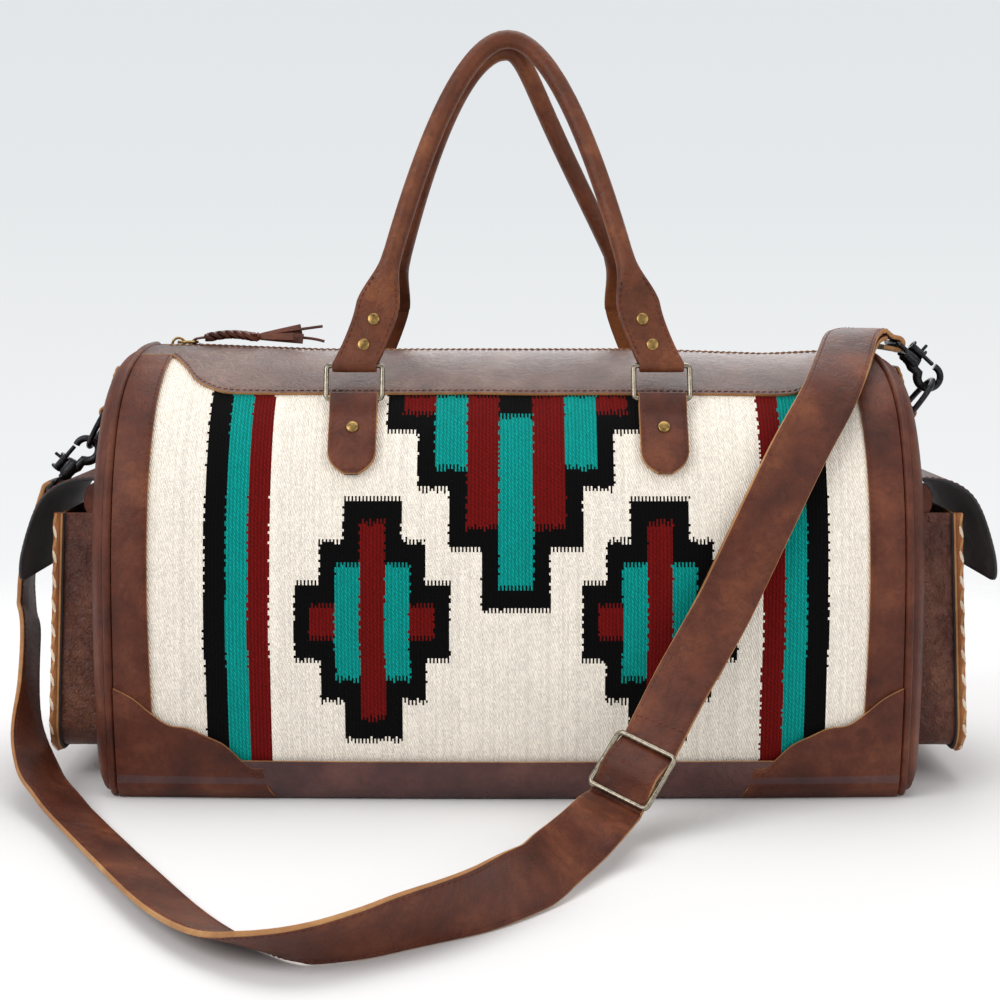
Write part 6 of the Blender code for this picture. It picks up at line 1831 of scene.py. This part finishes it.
def plait():
    """A loop through the ring, three thongs over and under, a binding, and a fringe."""
    parts = []
    level = 0.0031
    for side in (-1, 1):
        loop = [PLAIT_START + Vector((-0.0026 * math.cos(t), side * 0.0011, 0.0024 * math.sin(t)))
                for t in np.linspace(math.radians(-150), math.radians(80), 14)]
        loop += [PLAIT_START + Vector((reach, side * aside, level))
                 for reach, aside in ((0.0035, 0.0016), (0.0078, 0.0020))]
        parts.append(thong(loop, [0.0018] * len(loop), 0.0012, (0, 0.2 * side, 1)))
    start = PLAIT_START + Vector((0.0072, 0, level))
    for k in range(3):
        line = []
        for share in np.linspace(0, 1, 46):
            turn = 2 * math.pi * PLAIT_TURNS * share + 2 * math.pi * k / 3
            rise = 0.0022 * math.sin(math.pi * share) + 0.0017 * math.sin(2 * turn)
            line.append(start + Vector((PLAIT_LENGTH * share, PLAIT_HALF * math.sin(turn), rise)))
        parts.append(thong(line, [0.0030] * len(line), 0.0026))
    tail = start + Vector((PLAIT_LENGTH, 0, 0.0004))
    chance = np.random.default_rng(12)
    for reach, aside, lift, half, bend in FRINGE:
        line, widths, broad = [], [], half > 0.002
        for share in np.linspace(0, 1, 12):
            wave = 0.0006 * math.sin(5 * share + chance.uniform(0, 1))
            line.append(tail + Vector((reach * share, aside * share + wave, lift * share ** bend)))
            widths.append(half * (0.42 + 0.58 * math.sqrt(share)) if broad else half)
        parts.append(thong(line, widths, 0.0011 if broad else 0.0014, (0, -0.85, 0.5)))
    turns = [tail + Vector((-0.0016 + 0.0032 * share, 0.0034 * math.cos(9.4 * share),
                            0.0024 * math.sin(9.4 * share))) for share in np.linspace(0, 1, 40)]
    parts.append(wire("binding", turns, 0.0009, strap_leather))
    return join("zip_pull_plait", parts)


belongs(plait(), "zip_braid", body="zip_pull")

# %% [markdown]
# ## D-rings and snap hooks
# The hooks are gunmetal: a turned barrel flows into a thick curved jaw, a sprung bolt slides in two
# guides to shut it, and a wide swivel eye below carries the strap.

# %% D-rings and their tabs
D_TAB_TOP, D_TAB_FOOT, D_TAB_HALF, D_TAB_RIVET, D_TAB_SEAM = 0.2735, 0.2510, 0.0135, 0.2625, 0.0022


def end_surface(height, lift):
    """A place on the middle line of an end panel's outer face, lifted off it; +X end."""
    reach = RIDGE_HEIGHT + CLOTH - END_MIDDLE
    inset = min(1.0, (END_MIDDLE + reach - height) / reach / (1 - END_FLAT))
    start = HALF_LENGTH + SEAM_MARGIN - RIDGE_END_PULL
    run = HALF_LENGTH + END_BULGE - start
    rise = math.sqrt(1 - (1 - inset) ** 2)
    slope = run * (1 - inset) / max(rise, 0.2) / ((1 - END_FLAT) * reach)
    return Vector((start + run * rise, 0, height)) + Vector((1, 0, slope)).normalized() * lift


def d_ring_tab(end):
    """The tab that holds a D-ring: up behind, round the ring's bar and down in front, riveted."""
    loop_radius = D_WIRE + RING_PLAY + TAB_PLY / 2
    heights = np.linspace(D_TAB_TOP, D_TAB_FOOT, 10)
    back = TAB_PLY / 2 + 2 * GAP
    path = [end_surface(z, back) for z in heights]
    for k in range(15):
        turn = math.radians(200 + 210 * k / 14)
        path.append(HOOKS[RIGHT].bar + Vector((math.cos(turn), 0, math.sin(turn))) * loop_radius)
    path += [end_surface(z, back + TAB_PLY + GAP) for z in reversed(heights)]
    stations = []
    for i, point in enumerate(path):
        normal = tangent_at(path, i).cross(Y_AXIS).normalized()
        left = min(i, len(path) - 1 - i, 4) / 4
        stations.append((Vector((end * point.x, 0, point.z)), Y_AXIS, Vector((end * normal.x, 0, normal.z)),
                         D_TAB_HALF * (0.78 + 0.22 * math.sqrt(left)), TAB_PLY / 2))
    name = END_NAMES[end]
    made = ribbon(f"{name}_d_ring_leather", stations, [body_leather, cut_edge, body_leather], flat_steps=8)
    belongs(made, f"{name}_d_ring_tab")
    head = end_surface(D_TAB_RIVET, back + TAB_PLY * 1.5 + GAP)
    out = end_surface(D_TAB_RIVET, 1.0) - end_surface(D_TAB_RIVET, 0.0)
    head.x, out.x = end * head.x, end * out.x
    belongs(rivet(f"{name}_d_ring_rivet", head, out), None)
    out.normalize()
    return [([c + a * (sign * (w - D_TAB_SEAM)) + out * (t + THREAD_LIFT) for c, a, _, w, t in stations[-9:]],
             [out] * 9) for sign in (-1, 1)]


def d_ring(end):
    """The D-ring: a straight bar in the tab and a round bow."""
    hook, half = HOOKS[end], D_RING_WIDTH / 2 - D_WIRE
    line = []
    for turn in np.linspace(0, math.pi, 41):
        bow = hook.ring_direction * (D_RING_DEPTH * math.sin(turn) ** 0.8)
        line.append(hook.bar + Y_AXIS * (half * math.cos(turn)) + bow)
    line += [hook.bar + Y_AXIS * y for y in np.linspace(-half + 0.003, half - 0.003, 8)]
    name = END_NAMES[end]
    made = wire(f"{name}_d_wire", line, D_WIRE, gunmetal, closed=True, sides=5)
    belongs(made, f"{name}_d_ring")


# %% Hooks
BARREL_RADIUS, BARREL_START, BARREL_END = 0.0046, 0.0125, 0.0245
HOUSING_TURN = 128
BOLT_RADIUS, STEM_RADIUS, STEM_LENGTH, GUIDE_LENGTH = 0.0015, 0.0018, 0.0065, 0.0018


def hook_place(hook, down, aside, y=0.0):
    """A place on a hook: down its axis from the eye's middle, and aside from the axis."""
    return hook.eye + hook.axis * down + hook.side * aside + Vector((0, y, 0))


def snap_hook(end):
    """The barrel, the jaw that thickens toward it, and the two guides of the bolt."""
    hook, name = HOOKS[end], END_NAMES[end]
    bore = STEM_RADIUS + GAP
    groove = BARREL_RADIUS * 0.93
    barrel = [(0.0, BARREL_START - 0.0012), (0.0022, BARREL_START - 0.0008), (0.0036, BARREL_START),
              (BARREL_RADIUS, BARREL_START + 0.0012), (BARREL_RADIUS, BARREL_END - 0.0040),
              (groove, BARREL_END - 0.0037), (groove, BARREL_END - 0.0031),
              (BARREL_RADIUS, BARREL_END - 0.0028), (BARREL_RADIUS, BARREL_END - 0.0008),
              (0.0041, BARREL_END), (bore, BARREL_END), (bore, BARREL_END - STEM_LENGTH - GAP),
              (0.0, BARREL_END - STEM_LENGTH - GAP)]
    parts = [lathe("barrel", barrel, hook.eye, hook.axis, gunmetal, 36)]
    jaw = [hook_place(hook, BARREL_START + down, aside)
           for down, aside in ((0.0045, 0.0014), (0.0010, 0.0030))]
    sizes = [1.45, 1.45]
    for turn in np.radians(np.linspace(248, -15, 40)):
        jaw.append(hook_place(hook, -EYE_RADIUS * math.sin(turn), -EYE_RADIUS * math.cos(turn)))
        sizes.append(1.0 + 0.42 * max(0.0, (turn - 1.9) / 2.4) ** 1.2)
    parts.append(wire("jaw", jaw, HOOK_WIRE, gunmetal, sides=6, sizes=sizes))
    web = [(hook_place(hook, down, middle), hook.side, Y_AXIS, half, thick) for down, middle, half, thick in
           ((0.0108, 0.0012, 0.0030, 0.0012), (0.0118, 0.0002, 0.0052, 0.0021),
            (0.0130, -0.0003, 0.0056, 0.0025), (0.0170, -0.0005, 0.0053, 0.0028),
            (0.0210, -0.0006, 0.0049, 0.0030), (0.0232, -0.0005, 0.0047, 0.0029),
            (0.0240, -0.0005, 0.0042, 0.0022))]
    parts.append(ribbon("web", web, [gunmetal], corner=0.0018, flat_steps=6, crown=0.0006))
    inner, outer = BOLT_RADIUS + GAP, 0.0040
    open_by = math.radians(HOUSING_TURN)
    sweep = [(outer - 0.0007, t) for t in np.linspace(-open_by, open_by, 25)]
    sweep += [(inner + 0.0001, t) for t in np.linspace(open_by, -open_by, 25)]

    def housing(u, v):
        radius, turn = sweep[int(round(u * 50)) % 50]
        down = BARREL_START + 0.0014 + (BARREL_END - BARREL_START - 0.0028) * v
        return hook_place(hook, down, -EYE_RADIUS + radius * math.cos(turn), radius * math.sin(turn))

    parts.append(grid_piece("housing", housing, 50, 12, [gunmetal], tube=True, capped=True))
    section = [(inner, 0.0002), (inner + 0.0003, 0.0), (outer - 0.0004, 0.0), (outer, 0.0004)]
    section += [(radius, GUIDE_LENGTH - down) for radius, down in reversed(section)]
    section.append(section[0])
    for down in (BARREL_START + 0.0002, BARREL_END - GUIDE_LENGTH):
        parts.append(lathe("guide", section, hook_place(hook, down, -EYE_RADIUS), hook.axis, gunmetal, 30))
    belongs(join(f"{name}_hook_body", parts), f"{name}_hook", body=f"{name}_hook")


def hook_bolt(end):
    """The sprung bolt with its ribbed thumb stud."""
    hook, name = HOOKS[end], END_NAMES[end]
    rod = [(0.0, 0.0036), (0.0011, 0.0037), (BOLT_RADIUS, 0.0042), (BOLT_RADIUS, BARREL_END - 0.0016),
           (0.0011, BARREL_END - 0.0012), (0.0, BARREL_END - 0.0012)]
    root = hook_place(hook, 0.0160, -EYE_RADIUS - 0.0003)
    tip = hook_place(hook, 0.0162, -EYE_RADIUS - 0.0072)
    reach = (tip - root).length
    stud = [(0.0, 0.0), (0.0011, 0.0)] + [(0.0011 + 0.0001 * (k % 2), 0.0010 + (reach - 0.0016) * k / 8)
                                          for k in range(9)] + [(0.0009, reach), (0.0, reach)]
    parts = [lathe("rod", rod, hook_place(hook, 0, -EYE_RADIUS), hook.axis, gunmetal, 20),
             lathe("stud", stud, root, tip - root, gunmetal, 16)]
    belongs(join(f"{name}_bolt_rod", parts), f"{name}_hook_bolt", body=f"{name}_bolt")


def swivel_eye(end):
    """The wide eye below a hook, on a stem that turns in the barrel."""
    hook, name = HOOKS[end], END_NAMES[end]
    top = BARREL_END + GAP
    width, height = STRAP_WIDTH + 0.0075, HOOK_REACH - top - 0.0022
    line = [hook.swivel + p for p in rounded_loop(width, height, 0.0035, Y_AXIS, -hook.axis)]
    stem = [(0.0, BARREL_END - STEM_LENGTH), (STEM_RADIUS, BARREL_END - STEM_LENGTH), (STEM_RADIUS, top),
            (0.0032, top), (0.0034, top + 0.0003), (0.0034, HOOK_REACH - height - 0.0002),
            (0.0030, HOOK_REACH - height + 0.0002), (0.0, HOOK_REACH - height + 0.0002)]
    parts = [wire("eye", line, SWIVEL_WIRE, gunmetal, closed=True, sides=5),
             lathe("stem", stem, hook.eye, hook.axis, gunmetal, 28)]
    belongs(join(f"{name}_swivel", parts), f"{name}_swivel_eye")


ring_tab_seams = []
for end in (LEFT, RIGHT):
    ring_tab_seams += d_ring_tab(end)
    d_ring(end)
    snap_hook(end)
    hook_bolt(end)
    swivel_eye(end)
belongs(stitches("ring_tab_stitching", ring_tab_seams), None)
print("hooks done")
